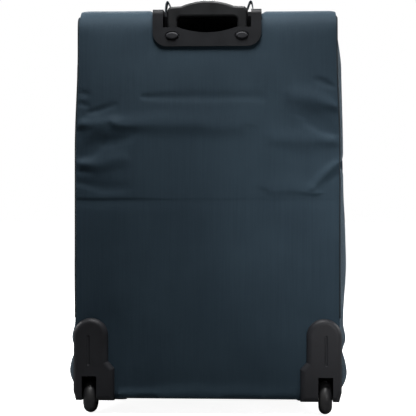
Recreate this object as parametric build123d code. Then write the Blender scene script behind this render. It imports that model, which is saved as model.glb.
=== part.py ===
"""Softside upright suitcase with two inline wheels and a pull-out trolley handle.

Frame: millimetres, +Z up, origin on the ground under the middle of the case. The lid faces -Y, the
trolley and the wheels are at +Y, and right means +X. Every function below returns one named piece.
"""

import os

from build123d import *

# ---- Driving dimensions ------------------------------------------------------------------------
BODY_WIDTH = 500
BODY_BOTTOM, BODY_TOP = 28, 760
REAR_FACE = 150
ZIP_Y = -80
LID_FACE = -140
REAR_CORNER, ZIP_CORNER = 8, 45
TOP_ROLL, BOTTOM_ROLL = 28, 12
FABRIC = 3
GAP = 0.2

WHEEL_RADIUS, WHEEL_WIDTH = 31, 25
WHEEL_X, WHEEL_Y = 223.5, 132
RIM_RADIUS, BEARING_RADIUS, AXLE_RADIUS, AXLE_HEAD = 19.6, 11, 4, 6
TUBE_X, TUBE_Y = 66, 131
TROLLEY_TRAVEL = 330

# ---- Sizes worked out from them ----------------------------------------------------------------
HALF = BODY_WIDTH / 2
MID_Z = (BODY_BOTTOM + BODY_TOP) / 2
BODY_HEIGHT = BODY_TOP - BODY_BOTTOM
WHEEL_REAR = WHEEL_Y + WHEEL_RADIUS
PANEL_REAR = REAR_FACE - FABRIC
ZIP_GAP = 0.5
ZIP_BAND = 11.5
CASE_EDGE = ZIP_Y + ZIP_GAP + ZIP_BAND
LID_EDGE = ZIP_Y - ZIP_GAP - ZIP_BAND
ZIP_FACE = HALF - 0.5
ZIP_THICK = 2

ROLL_Y, ROLL_Z = REAR_FACE - TOP_ROLL, BODY_TOP - TOP_ROLL

# Back board, base tray and sewn lining, from the rear face inwards.
BOARD_REAR = PANEL_REAR - GAP
BOARD_FRONT = BOARD_REAR - 2
BOARD_HALF, BOARD_BOTTOM, BOARD_TOP = 238, 44, ROLL_Z - 4
TRAY_HALF, TRAY_FRONT, TRAY_TOP, TRAY_THICK = 202, CASE_EDGE + 8, BODY_BOTTOM + FABRIC + 2.5, 2
LINING_REAR = 118.5
LINING_INSET = 9

# Trolley: section sizes are (width in X, depth in Y, corner radius). The fits are the holes round the tubes.
OUTER_TUBE, OUTER_BORE, OUTER_FIT = (18.4, 14.4, 4), (16, 12, 3), (18.8, 14.8, 4.2)
INNER_TUBE, INNER_BORE, INNER_FIT = (15, 11, 3), (12.6, 8.6, 1.8), (15.4, 11.4, 3.2)
COLLAR, COLLAR_FLANGE, COLLAR_FIT = (21.6, 17.6, 5), (26, 22, 6), (22, 18, 5.2)
OUTER_TUBE_BOTTOM, OUTER_TUBE_TOP = 62, 714
INNER_TUBE_BOTTOM, INNER_TUBE_TOP = 100, 750
PIN_Z = 115
CUP_HALF, CUP_FRONT, CUP_BOTTOM, CUP_WALL = 86, 108, 716, 2.5
BEZEL_HALF, BEZEL_BOTTOM, BEZEL_TOP, BEZEL_THICK = 103, 697, 768.2, 4
BEZEL_ROLL, BEZEL_CORNER, BEZEL_EDGE = 10, 27, 12
BEZEL_PLATE_FRONT = 96
LIP_Z, LIP_DIP, DIP_HALF = 733, 10, 55
GRIP_DEPTH = 28
GRIP_FRONT, GRIP_REAR = TUBE_Y - GRIP_DEPTH / 2, TUBE_Y + GRIP_DEPTH / 2
GRIP_BOTTOM, GRIP_UNDERSIDE, GRIP_TOP, GRIP_CROWN = 722, 754, 774, 785
GRIP_HALF, GRIP_OPENING_HALF = 77, 57
BUTTON_HALF, BUTTON_TOP = 15, 787

# Zip sliders, in their own frame: X along the teeth, Z out of the face, the tape's outside at Z 0.
SLIDER_LENGTH, SLIDER_WIDTH = 12, 9
SLIDER_PLATE = 1.5
SLIDER_LIFT = 0.3
PULL_AXIS_HEIGHT = 3
BRIDGE_TOP = 5.4
PULL_LENGTH = 32

# Pockets on the lid. The lower one stands as far forward as the wheels do to the rear.
POCKET_WIDTH, POCKET_CORNER = 440, 30
UPPER_POCKET_Z, UPPER_POCKET_FACE = (470, 722), -152
LOWER_POCKET_Z, LOWER_POCKET_FACE = (55, 455), -(WHEEL_REAR - BRIDGE_TOP)
POCKET_ZIP_DROP, POCKET_ZIP_HALF = 34, 190
POCKET_TAPE, POCKET_GROOVE = 8, 7
POCKET_SLIDER_X = 165

SLIDER_UPPER_Z, SLIDER_LOWER_Z = 455, 400

# Carry handles. The loops of the top one stand LOOP_X either side of the middle.
TOP_HANDLE_Y, TOP_HANDLE_WIDTH = 60, 30
LOOP_X, LOOP_OUTER, WEBBING = 79, 8, 2.5
LOOP_TOP = 797
TOP_PATCH_X, TOP_PATCH_HALF_Y = (75, 103), 17
SIDE_HANDLE_Y, SIDE_HANDLE_OUT = 35, 12
SIDE_HANDLE_MID_Z, SIDE_WEBBING_HALF, SIDE_PAD_HALF = 430, 85, 60
SIDE_PATCH_OFFSET, SIDE_PATCH_HALF_Y, SIDE_PATCH_HALF_Z = 98, 15, 12
PATCH_THICK = 2.4


# ---- Helpers -----------------------------------------------------------------------------------
def block(x, y, z):
    """Box between two limits on each axis."""
    size = [high - low for low, high in (x, y, z)]
    middle = [(low + high) / 2 for low, high in (x, y, z)]
    return Pos(*middle) * Box(*size)


def slab_y(sketch, low, high):
    """Sketch drawn in X and Z, as a slab between two Y values."""
    return extrude(Plane.XZ.offset(-low) * sketch, amount=high - low, dir=(0, 1, 0))


def slab_z(sketch, low, high):
    """Sketch drawn in X and Y, as a slab between two Z values."""
    return extrude(Plane.XY.offset(low) * sketch, amount=high - low)


def rod_x(x, y, z, radius):
    return Pos((x[0] + x[1]) / 2, y, z) * Rot(0, 90, 0) * Cylinder(radius, x[1] - x[0])


def rod_y(x, y, z, radius):
    return Pos(x, (y[0] + y[1]) / 2, z) * Rot(90, 0, 0) * Cylinder(radius, y[1] - y[0])


def rod_z(x, y, z, radius):
    return Pos(x, y, (z[0] + z[1]) / 2) * Cylinder(radius, z[1] - z[0])


def flip(piece):
    """The same piece on the other side of the case."""
    return mirror(piece, about=Plane.YZ)


def pair(piece):
    """The piece and its mirror image, as one node of separate solids."""
    return Compound(children=[*piece.solids(), *flip(piece).solids()])


def body_outline(inset=0.0, corner=ZIP_CORNER):
    """The case seen from the rear. Its corners are wide at the zip and tight at the rear."""
    radius = max(corner - inset, 1)
    return Pos(0, MID_Z) * RectangleRounded(BODY_WIDTH - 2 * inset, BODY_HEIGHT - 2 * inset, radius)


def body_ring(outer_inset, inner_inset, low, high):
    """Hoop of fabric, tape or film that follows the case's outline at the zip."""
    return slab_y(body_outline(outer_inset) - body_outline(inner_inset), low, high)


def side_profile(inset=0.0):
    """The case seen from the side, open towards the zip, with its rear edges rolled."""
    front, rear = CASE_EDGE - 1, REAR_FACE - inset
    low, high = BODY_BOTTOM + inset, BODY_TOP - inset
    roll, hem = TOP_ROLL - inset, BOTTOM_ROLL - inset
    slant = 2 ** -0.5
    top = ThreePointArc(
        (rear - roll, high), (rear - roll + roll * slant, high - roll + roll * slant), (rear, high - roll)
    )
    bottom = ThreePointArc(
        (rear, low + hem), (rear - hem + hem * slant, low + hem - hem * slant), (rear - hem, low)
    )
    back = Line((rear, high - roll), (rear, low + hem))
    rest = Polyline((rear - hem, low), (front, low), (front, high), (rear - roll, high))
    return make_face(top + back + bottom + rest)


def body_hull(inset=0.0):
    """Solid the size of the case behind the zip, less an inset all round."""
    zip_end = Plane.XZ.offset(-CASE_EDGE) * body_outline(inset, ZIP_CORNER)
    rear_end = Plane.XZ.offset(-REAR_FACE) * body_outline(inset, REAR_CORNER)
    reach = HALF + 10
    return loft([zip_end, rear_end], ruled=True) & extrude(Plane.YZ * side_profile(inset), reach, both=True)


def corner_inset(y):
    """How far the middle of a long corner lies inside the square corner, at a given depth."""
    share = (REAR_FACE - y) / (REAR_FACE - CASE_EDGE)
    radius = REAR_CORNER + share * (ZIP_CORNER - REAR_CORNER)
    return radius * (1 - 2 ** -0.5)


def quadrant(side, low, high):
    """Everything on one side of the case, up to the 45 degree lines through its corners."""
    corner = ZIP_CORNER + 40
    reach = corner + 60
    x, top, bottom = HALF - corner, BODY_TOP - corner, BODY_BOTTOM + corner
    corners = {
        "top": [(-x, top), (-x - reach, top + reach), (x + reach, top + reach), (x, top)],
        "bottom": [(-x, bottom), (-x - reach, bottom - reach), (x + reach, bottom - reach), (x, bottom)],
        "right": [(x, top), (x + reach, top + reach), (x + reach, bottom - reach), (x, bottom)],
        "left": [(-x, top), (-x - reach, top + reach), (-x - reach, bottom - reach), (-x, bottom)],
    }[side]
    return slab_y(Polygon(*corners, align=None), low, high)


def tube_section(size):
    return Pos(TUBE_X, TUBE_Y) * RectangleRounded(*size)


# ---- Where the case is cut for the trolley cup, the wheel wells and the screws ------------------
WELL_HALF_OUTER, WELL_HALF_INNER = 16.5, 14
WELL_FRONT, WELL_TOP = 86, 77
HOUSING_INNER_X, HOUSING_OUTER_X = 176, 254
HOUSING_FRONT, HOUSING_REAR = 84, 161
HOUSING_LOW = BODY_BOTTOM - 2
LEAN_IN, LEAN_HEIGHT = 5, 18
CHEEK_FRONT, CHEEK_TOP = 100, 96
CORNER_WIDTH, CORNER_FRONT, CORNER_HEIGHT = 45, 104, 20
ARCH_RADIUS, ARCH_Z = 33, 149
ARCH_X = HOUSING_OUTER_X - ARCH_RADIUS
HOUSING_SCREWS = [(190, 52), (190, 80), (ARCH_X, 102), (ARCH_X, 160)]
FOOT_SCREWS = [(28, 64), (104, 64)]
TOP_SCREWS = [(94, 102), (94, 116)]
GRIP_SCREW_X = 72
RIVET_Z = 712
SCREW_RADIUS, SCREW_HOLE, SCREW_LENGTH = 2, 2.3, 10
HEAD_RADIUS, HEAD_HEIGHT = 4, 2.4
FEET_X, FEET_Y = (172, 220), (-62, -22)
FEET_SCREW_POINTS = [(184, -42), (208, -42)]
FOOT_SCREW_SEAT = BOARD_REAR - SCREW_LENGTH - GAP


def cup_room(clear=0.5):
    half = CUP_HALF + clear
    return block((-half, half), (CUP_FRONT - clear, REAR_FACE + 20), (CUP_BOTTOM - clear, BODY_TOP + 20))


def well_room(clear=0.5):
    half = WELL_HALF_OUTER + clear
    room = block(
        (WHEEL_X - half, WHEEL_X + half),
        (WELL_FRONT - clear, REAR_FACE + 20),
        (0, WELL_TOP + clear),
    )
    return room + flip(room)


def rear_screw_holes(low, high):
    """Holes through the rear panel and board for the housing, trolley foot and cap fixings."""
    points = HOUSING_SCREWS + FOOT_SCREWS + [(TUBE_X, RIVET_Z)]
    holes = Sketch() + [Pos(x, z) * Circle(SCREW_HOLE) for x, z in points]
    right = slab_y(holes, low, high)
    return right + flip(right)


# ---- Soft body ---------------------------------------------------------------------------------
def body_shell():
    """All the case's fabric behind the zip, as one skin."""
    return body_hull() - body_hull(FABRIC)


def rear_slice():
    """The flat of the rear wall, inside the side seams."""
    half = HALF - FABRIC
    return block((-half, half), (PANEL_REAR, REAR_FACE), (BODY_BOTTOM, BODY_TOP))


def rear_panel():
    """Rear wall, with the rolled edges that lead into the top and the bottom."""
    shell = body_shell()
    top = shell & quadrant("top", ROLL_Y, PANEL_REAR)
    bottom = shell & quadrant("bottom", REAR_FACE - BOTTOM_ROLL, PANEL_REAR)
    panel = (shell & rear_slice()) + top + bottom
    return panel - cup_room() - well_room() - rear_screw_holes(PANEL_REAR - 1, REAR_FACE + 1)


def top_panel():
    holes = Sketch() + [Pos(x, y) * Circle(SCREW_HOLE) for x, y in TOP_SCREWS]
    right = slab_z(holes, BODY_TOP - 10, BODY_TOP + 1)
    return (body_shell() & quadrant("top", CASE_EDGE, ROLL_Y)) - cup_room() - right - flip(right)


def bottom_panel():
    holes = Sketch() + [Pos(x, y) * Circle(SCREW_HOLE) for x, y in FEET_SCREW_POINTS]
    cuts = slab_z(holes, BODY_BOTTOM - 1, BODY_BOTTOM + 10)
    cuts += block(
        (HOUSING_INNER_X - 1, HALF + 5),
        (HOUSING_FRONT - 1, REAR_FACE),
        (0, BODY_BOTTOM + CORNER_HEIGHT),
    )
    return (body_shell() & quadrant("bottom", CASE_EDGE, REAR_FACE - BOTTOM_ROLL)) - cuts - flip(cuts)


def wheel_corner():
    """The lower rear corner of the right side, cut away behind the housing's cheek."""
    return block((HALF - CORNER_WIDTH, HALF + 5), (CORNER_FRONT, REAR_FACE), (0, BODY_BOTTOM + CORNER_HEIGHT))


def side_panel_right():
    return (body_shell() & quadrant("right", CASE_EDGE, REAR_FACE)) - rear_slice() - wheel_corner()


def side_panel_left():
    """Its front strip is the uncut fabric that the lid hinges on."""
    strip = body_ring(0, FABRIC, ZIP_Y + ZIP_GAP, CASE_EDGE) & quadrant("left", ZIP_Y, CASE_EDGE)
    return flip(side_panel_right()) + strip


def side_piping():
    """Corded seam along each side: up the rear edge and over the top, and under the bottom."""
    radius, stand_off, housing_top = 1.8, 1.5, ARCH_Z + ARCH_RADIUS + 3
    slant = 2 ** -0.5
    outer = HALF + stand_off

    def corner(y, z, up):
        inset = corner_inset(y) - stand_off
        return (HALF - inset, y, z - up * inset)

    front_top, roll_start = corner(CASE_EDGE + 1, BODY_TOP, 1), corner(ROLL_Y - 20, BODY_TOP, 1)
    roll = TOP_ROLL + stand_off
    roll_middle = (outer - 1.5, ROLL_Y + roll * slant, ROLL_Z + roll * slant)
    roll_end = (outer, REAR_FACE + stand_off, ROLL_Z - 10)
    along = Vector(*roll_start) - Vector(*front_top)
    path = Line(front_top, roll_start)
    path += Spline(roll_start, roll_middle, roll_end, tangents=[along.normalized(), (0, 0, -1)])
    path += Line(roll_end, (outer, REAR_FACE + stand_off, housing_top))
    cord = sweep(Plane(origin=front_top, z_dir=along) * Circle(radius), path=path)
    low_front, low_rear = corner(CASE_EDGE + 1, BODY_BOTTOM, -1), corner(HOUSING_FRONT - 2, BODY_BOTTOM, -1)
    low_along = Vector(*low_rear) - Vector(*low_front)
    low_path = Line(low_front, low_rear)
    low_cord = sweep(Plane(origin=low_front, z_dir=low_along) * Circle(radius), path=low_path)
    fabric = body_hull(-GAP / 2)
    return pair(Compound(children=[*(cord - fabric).solids(), *(low_cord - fabric).solids()]))


def lid_piping():
    """Corded welt round the lid's front, outside the fabric."""
    offset, radius = 2.2, 2
    path = (Plane.XZ.offset(-(LID_FACE + 2)) * body_outline(-offset)).wire()
    section = Plane(origin=path.position_at(0), z_dir=path.tangent_at(0)) * Circle(radius)
    return sweep(section, path=path)


# ---- Stiffeners and lining ---------------------------------------------------------------------
def back_board():
    board = block((-BOARD_HALF, BOARD_HALF), (BOARD_FRONT, BOARD_REAR), (BOARD_BOTTOM, BOARD_TOP))
    board = fillet(board.edges().filter_by(Axis.Y), 6)
    return board - cup_room() - well_room() - rear_screw_holes(BOARD_FRONT - 1, BOARD_REAR + 1)


def base_tray():
    rear = REAR_FACE - BOTTOM_ROLL
    tray = block((-TRAY_HALF, TRAY_HALF), (TRAY_FRONT, rear), (TRAY_TOP - TRAY_THICK, TRAY_TOP))
    holes = Sketch() + [Pos(x, y) * Circle(SCREW_HOLE) for x, y in FEET_SCREW_POINTS]
    right = slab_z(holes, TRAY_TOP - 3, TRAY_TOP + 1)
    return tray - well_room(4) - right - flip(right)


def wire_hoop():
    """Spring steel rod that holds the zip opening square."""
    inset, radius = FABRIC + 2.4, 1.75
    path = (Plane.XZ.offset(-(CASE_EDGE + 4)) * body_outline(inset)).wire()
    section = Plane(origin=path.position_at(0), z_dir=path.tangent_at(0)) * Circle(radius)
    return sweep(section, path=path)


def case_lining():
    """Sewn tray of lining cloth, open towards the lid, cut round the cup and the wells."""
    outer = slab_y(body_outline(LINING_INSET), CASE_EDGE, LINING_REAR)
    inner = slab_y(body_outline(LINING_INSET + 1), CASE_EDGE - 1, LINING_REAR - 1)
    return outer - inner - cup_room(3) - well_room(3)


# ---- Lid ---------------------------------------------------------------------------------------
def lid_panel():
    face = slab_y(body_outline(), LID_FACE, LID_FACE + FABRIC)
    walls = body_ring(0, FABRIC, LID_FACE + FABRIC, LID_EDGE)
    hinge_edge = ZIP_Y - ZIP_GAP
    hinge = body_ring(0, FABRIC, LID_EDGE, hinge_edge) & quadrant("left", LID_EDGE, hinge_edge)
    return face + walls + hinge


def lid_lining():
    front = LID_FACE + FABRIC + 0.5
    outer = slab_y(body_outline(FABRIC + 0.5), front, LID_EDGE)
    inner = slab_y(body_outline(FABRIC + 1.5), front + 1, LID_EDGE + 1)
    return outer - inner


def zip_band(low, high):
    """Half of the main zip: tape and teeth round the top, the right side and the bottom."""
    inset = HALF - ZIP_FACE
    band = body_ring(inset, inset + ZIP_THICK, low, high)
    return band - quadrant("left", low - 1, high + 1)


def case_zip():
    return zip_band(ZIP_Y + ZIP_GAP, CASE_EDGE - GAP)


def lid_zip():
    return zip_band(LID_EDGE + GAP, ZIP_Y - ZIP_GAP)


def pocket(z_limits, face):
    """Flat pocket sewn on the lid, with a groove behind its zip for the slider to run in."""
    low, high = z_limits
    outline = Pos(0, (low + high) / 2) * RectangleRounded(POCKET_WIDTH, high - low, POCKET_CORNER)
    zip_z = high - POCKET_ZIP_DROP
    groove = block(
        (-POCKET_ZIP_HALF, POCKET_ZIP_HALF),
        (face - 1, face + POCKET_GROOVE),
        (zip_z - POCKET_TAPE, zip_z + POCKET_TAPE),
    )
    return slab_y(outline, face, LID_FACE - GAP) - groove


def upper_pocket():
    return pocket(UPPER_POCKET_Z, UPPER_POCKET_FACE)


def lower_pocket():
    return pocket(LOWER_POCKET_Z, LOWER_POCKET_FACE)


def pocket_zips():
    """Two zips, each as two half tapes that leave a slit for the slider's neck."""
    halves = []
    for (_, high), face in ((UPPER_POCKET_Z, UPPER_POCKET_FACE), (LOWER_POCKET_Z, LOWER_POCKET_FACE)):
        zip_z = high - POCKET_ZIP_DROP
        for half_tape in ((zip_z - POCKET_TAPE, zip_z - ZIP_GAP), (zip_z + ZIP_GAP, zip_z + POCKET_TAPE)):
            tape = block((-POCKET_ZIP_HALF, POCKET_ZIP_HALF), (face, face + ZIP_THICK), half_tape)
            halves += tape.solids()
    return Compound(children=halves)


# ---- Zip sliders and pulls ---------------------------------------------------------------------
def slider(plane):
    """Two plates joined by a neck in the slit between the tapes, with a bridge for the pull."""
    length, width = SLIDER_LENGTH / 2, SLIDER_WIDTH / 2
    outer_top = SLIDER_LIFT + SLIDER_PLATE
    inner_top = -ZIP_THICK - SLIDER_LIFT
    neck_length, neck_width = 2, 0.3
    bridge_length, bridge_width, passage_length, bar = length - 0.5, 1.5, 3.2, 1.2
    body = block((-length, length), (-width, width), (SLIDER_LIFT, outer_top))
    body += block((-length, length), (-width, width), (inner_top - SLIDER_PLATE, inner_top))
    neck = (inner_top - 0.1, SLIDER_LIFT + 0.1)
    body += block((-neck_length, neck_length), (-neck_width, neck_width), neck)
    bridge = block((-bridge_length, bridge_length), (-bridge_width, bridge_width), (outer_top, BRIDGE_TOP))
    passage = block((-passage_length, passage_length), (-width, width), (outer_top, BRIDGE_TOP - bar))
    return plane * (body + (bridge - passage))


def pull(plane):
    """Tab that hangs from a pin through the slider's bridge."""
    height, thick = PULL_AXIS_HEIGHT, 0.8
    arm_in, arm_out, tab_start, tab_width = 2.2, 3.8, 7.5, 4.5
    z = (height - thick, height + thick)
    pin = rod_y(0, (-arm_out, arm_out), height, thick)
    arms = block((0, tab_start + 1.5), (-arm_out, arm_out), z)
    arms -= block((-1, tab_start), (-arm_in, arm_in), (0, 2 * height))
    tab = block((tab_start, PULL_LENGTH), (-tab_width, tab_width), z)
    tab = fillet(tab.edges().filter_by(Axis.Z), 1.5)
    return plane * (pin + arms + tab)


def side_zip_plane(z):
    """On the right side of the case, with the pull hanging down."""
    return Plane(origin=(ZIP_FACE, ZIP_Y, z), x_dir=(0, 0, -1), z_dir=(1, 0, 0))


def pocket_zip_plane(z_limits, face):
    """On the front of a pocket, with the pull lying towards the middle."""
    z = z_limits[1] - POCKET_ZIP_DROP
    return Plane(origin=(POCKET_SLIDER_X, face, z), x_dir=(-1, 0, 0), z_dir=(0, -1, 0))


ZIP_PLANES = {
    "main_{}_upper": side_zip_plane(SLIDER_UPPER_Z),
    "main_{}_lower": side_zip_plane(SLIDER_LOWER_Z),
    "upper_pocket_{}": pocket_zip_plane(UPPER_POCKET_Z, UPPER_POCKET_FACE),
    "lower_pocket_{}": pocket_zip_plane(LOWER_POCKET_Z, LOWER_POCKET_FACE),
}


# ---- Trolley handle ----------------------------------------------------------------------------
def bezel_body():
    """Moulding that wraps over the rolled rear edge, with wide round lower corners."""
    rear, outside = REAR_FACE + GAP, REAR_FACE + GAP + BEZEL_THICK
    low, inner = BODY_TOP + GAP, TOP_ROLL + GAP
    slant = 2 ** -0.5
    outer_roll = ThreePointArc(
        (outside - BEZEL_ROLL, BEZEL_TOP),
        (outside - BEZEL_ROLL + BEZEL_ROLL * slant, BEZEL_TOP - BEZEL_ROLL + BEZEL_ROLL * slant),
        (outside, BEZEL_TOP - BEZEL_ROLL),
    )
    inner_roll = ThreePointArc(
        (rear, ROLL_Z), (ROLL_Y + inner * slant, ROLL_Z + inner * slant), (ROLL_Y, low)
    )
    roll_start = BEZEL_TOP - BEZEL_ROLL
    back = Polyline((outside, roll_start), (outside, BEZEL_BOTTOM), (rear, BEZEL_BOTTOM), (rear, ROLL_Z))
    front = Polyline(
        (ROLL_Y, low),
        (BEZEL_PLATE_FRONT, low),
        (BEZEL_PLATE_FRONT, BEZEL_TOP),
        (outside - BEZEL_ROLL, BEZEL_TOP),
    )
    body = extrude(Plane.YZ * make_face(outer_roll + back + inner_roll + front), BEZEL_HALF, both=True)
    body = fillet(body.edges().filter_by(Axis.Y).group_by(Axis.Z)[0], BEZEL_CORNER)
    return fillet(body.edges().filter_by(Axis.Z).group_by(Axis.Y)[0], BEZEL_EDGE)


def grip_window():
    """Cut in the rear plate that the grip is reached through, with a dip for the fingers."""
    window = Pos(0, LIP_Z + 30) * Rectangle(2 * (CUP_HALF - CUP_WALL), 60)
    edge = ThreePointArc((-DIP_HALF, LIP_Z), (0, LIP_Z - LIP_DIP), (DIP_HALF, LIP_Z))
    dip = make_face(edge + Line((DIP_HALF, LIP_Z), (-DIP_HALF, LIP_Z)))
    return window + dip


def bezel():
    """Handle cup that wraps over the top rear edge, with a floor that the tubes come through."""
    rear, outside, low = REAR_FACE + GAP, REAR_FACE + GAP + BEZEL_THICK, BODY_TOP + GAP
    cup = block((-CUP_HALF, CUP_HALF), (CUP_FRONT, rear + 1), (CUP_BOTTOM, low + 1))
    hollow = block(
        (-CUP_HALF + CUP_WALL, CUP_HALF - CUP_WALL),
        (CUP_FRONT + CUP_WALL, rear),
        (CUP_BOTTOM + CUP_WALL, BEZEL_TOP + 5),
    )
    collar = slab_z(tube_section(COLLAR_FIT), CUP_BOTTOM - 1, CUP_BOTTOM + 5)
    recess = slab_y(Pos(TUBE_X, RIVET_Z + 5) * Ellipse(14, 8.5), outside - 1.5, outside + 1)
    rivet = rod_y(TUBE_X, (rear - 1, outside), RIVET_Z, SCREW_HOLE)
    screws = Sketch() + [Pos(x, y) * Circle(SCREW_RADIUS + 0.1) for x, y in TOP_SCREWS]
    cuts = collar + recess + rivet + slab_z(screws, low - 1, BEZEL_TOP - 1)
    return bezel_body() + cup - hollow - slab_y(grip_window(), rear - 1, outside + 1) - cuts - flip(cuts)


def bezel_caps():
    """Oval push-in caps on the bezel, each with a pin that goes through to the back board."""
    floor = REAR_FACE + GAP + BEZEL_THICK - 1.5
    dome = slab_y(Pos(TUBE_X, RIVET_Z + 5) * Ellipse(12, 6.8), floor + GAP, floor + 4.5)
    dome = fillet(dome.edges().group_by(Axis.Y)[-1], 3)
    return pair(dome + rod_y(TUBE_X, (BOARD_FRONT - 4, floor + 1), RIVET_Z, SCREW_RADIUS))


def outer_tubes():
    tube = slab_z(tube_section(OUTER_TUBE) - tube_section(OUTER_BORE), OUTER_TUBE_BOTTOM, OUTER_TUBE_TOP)
    for z in (PIN_Z, PIN_Z + TROLLEY_TRAVEL):
        tube -= rod_x((TUBE_X + 5, TUBE_X + 12), TUBE_Y, z, 2.7)
    return pair(tube)


def tube_collars():
    """Guides on top of the outer tubes, hooked over the cup's floor."""
    flange_low = CUP_BOTTOM + CUP_WALL + GAP
    flange, sleeve = 2.3, 6
    collar = slab_z(tube_section(COLLAR), OUTER_TUBE_TOP - sleeve, flange_low)
    collar += slab_z(tube_section(COLLAR_FLANGE), flange_low, flange_low + flange)
    collar -= slab_z(tube_section(OUTER_FIT), OUTER_TUBE_TOP - sleeve - 1, OUTER_TUBE_TOP + GAP)
    collar -= slab_z(tube_section(INNER_FIT), OUTER_TUBE_TOP, flange_low + flange + 1)
    return pair(collar)


def trolley_foot():
    """Moulded bracket that ties the two tubes to the back board at the bottom."""
    low, high, half = 46, 82, 114
    foot = block((-half, half), (TUBE_Y - 9.5, BOARD_FRONT - GAP), (low, high))
    foot = fillet(foot.edges().filter_by(Axis.Y), 8)
    cuts = slab_z(tube_section(OUTER_FIT), OUTER_TUBE_BOTTOM - GAP, high + 8)
    for x, z in FOOT_SCREWS:
        cuts += rod_y(x, (FOOT_SCREW_SEAT - 20, BOARD_REAR), z, SCREW_HOLE)
        cuts += rod_y(x, (FOOT_SCREW_SEAT - 20, FOOT_SCREW_SEAT), z, HEAD_RADIUS + 0.4)
    return foot - cuts - flip(cuts)


def inner_tubes():
    tube = slab_z(tube_section(INNER_TUBE) - tube_section(INNER_BORE), INNER_TUBE_BOTTOM, INNER_TUBE_TOP)
    return pair(tube - rod_x((TUBE_X + 4, TUBE_X + 12), TUBE_Y, PIN_Z, 2.6))


def pin_blocks():
    """Plug in the foot of each inner tube, which holds the lock pin and glides in the outer tube."""
    plug = slab_z(tube_section((12.2, 8.2, 1.6)), INNER_TUBE_BOTTOM - 0.5, PIN_Z + 17)
    plug += slab_z(tube_section((15.8, 11.8, 2.9)), INNER_TUBE_BOTTOM - 6, INNER_TUBE_BOTTOM - GAP)
    plug -= rod_x((TUBE_X - 4, TUBE_X + 10), TUBE_Y, PIN_Z, 2.5)
    return pair(plug - rod_z(TUBE_X, TUBE_Y, (PIN_Z, PIN_Z + 20), 2.2))


def lock_pin_right():
    """Drawn in, flush with the inner tube. It moves out by 2.4 to lock."""
    return rod_x((TUBE_X - 3, TUBE_X + INNER_TUBE[0] / 2 - GAP), TUBE_Y, PIN_Z, 2.4)


def lock_pin_left():
    return flip(lock_pin_right())


def grip_outline():
    """Seen from the rear: two legs, a bar with a raised crown, and the hand opening below it."""
    leg, half, corner, crown_half, crown_foot = GRIP_HALF - 1.5, GRIP_HALF, 6, 50, GRIP_TOP + 1
    right = [
        (crown_half, crown_foot),
        (half - corner, GRIP_TOP),
        (half, GRIP_TOP - corner),
        (leg, GRIP_BOTTOM),
    ]
    left = [(-x, z) for x, z in reversed(right)]
    side = Polyline(*right, *left)
    crown = ThreePointArc((-crown_half, crown_foot), (0, GRIP_CROWN), (crown_half, crown_foot))
    opening = Pos(0, GRIP_UNDERSIDE - 30) * RectangleRounded(2 * GRIP_OPENING_HALF, 60, 8)
    below = Pos(0, GRIP_BOTTOM - 10) * Rectangle(2 * GRIP_OPENING_HALF, 40)
    return make_face(side + crown) - opening - below


def grip_cavity():
    """Room inside the grip for the tubes, the button, the yoke and the spring."""
    socket = slab_z(tube_section(INNER_FIT), GRIP_BOTTOM - 5, INNER_TUBE_TOP + 0.5)
    rod = rod_z(TUBE_X, TUBE_Y, (INNER_TUBE_TOP, GRIP_UNDERSIDE + 5), 2.6)
    bar = block((-71, 71), (TUBE_Y - 5, TUBE_Y + 5), (GRIP_UNDERSIDE + 3.5, GRIP_UNDERSIDE + 12.7))
    slot = block(
        (-BUTTON_HALF - 0.3, BUTTON_HALF + 0.3),
        (TUBE_Y - 5.5, TUBE_Y + 5.5),
        (GRIP_UNDERSIDE + 10, GRIP_CROWN + 5),
    )
    seat = rod_z(0, TUBE_Y, (GRIP_UNDERSIDE + 1.2, GRIP_UNDERSIDE + 5), 4.4)
    screw = rod_y(GRIP_SCREW_X, (GRIP_FRONT + 3, GRIP_REAR - 5), GRIP_UNDERSIDE, 1.6)
    return socket + flip(socket) + rod + flip(rod) + bar + slot + seat + screw + flip(screw)


def grip_shell(low, high):
    shell = slab_y(grip_outline(), low, high)
    outer = low if low == GRIP_FRONT else high
    edges = [edge for edge in shell.edges() if abs(edge.center().Y - outer) < 0.01]
    shell = fillet(edges, 5)
    heads = rod_y(GRIP_SCREW_X, (GRIP_FRONT - 1, GRIP_FRONT + 3), GRIP_UNDERSIDE, 3)
    return shell - grip_cavity() - heads - flip(heads)


def grip_rear_shell():
    return grip_shell(TUBE_Y + 0.05, GRIP_REAR)


def grip_front_shell():
    return grip_shell(GRIP_FRONT, TUBE_Y - 0.05)


def grip_screws():
    seat = GRIP_FRONT + 3
    shank = rod_y(GRIP_SCREW_X, (seat - 0.1, GRIP_REAR - 6), GRIP_UNDERSIDE, 1.4)
    return pair(shank + rod_y(GRIP_SCREW_X, (seat - 2.2, seat), GRIP_UNDERSIDE, 2.6))


def release_button():
    """Modelled pressed in. It comes up by 4 when it is let go."""
    yoke_top = GRIP_UNDERSIDE + 8
    y = (TUBE_Y - 5, TUBE_Y + 5)
    button = block((-BUTTON_HALF, BUTTON_HALF), y, (yoke_top, BUTTON_TOP))
    return fillet(button.edges().group_by(Axis.Z)[-1], 2)


def push_rods():
    """Yoke under the button and the two rods that run down the tubes to the lock pins."""
    low = GRIP_UNDERSIDE + 6
    yoke = block((-TUBE_X - 3, TUBE_X + 3), (TUBE_Y - 3, TUBE_Y + 3), (low, low + 2))
    rod = rod_z(TUBE_X, TUBE_Y, (PIN_Z + 4, low + 1), 1.9)
    return yoke + rod + flip(rod)


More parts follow.
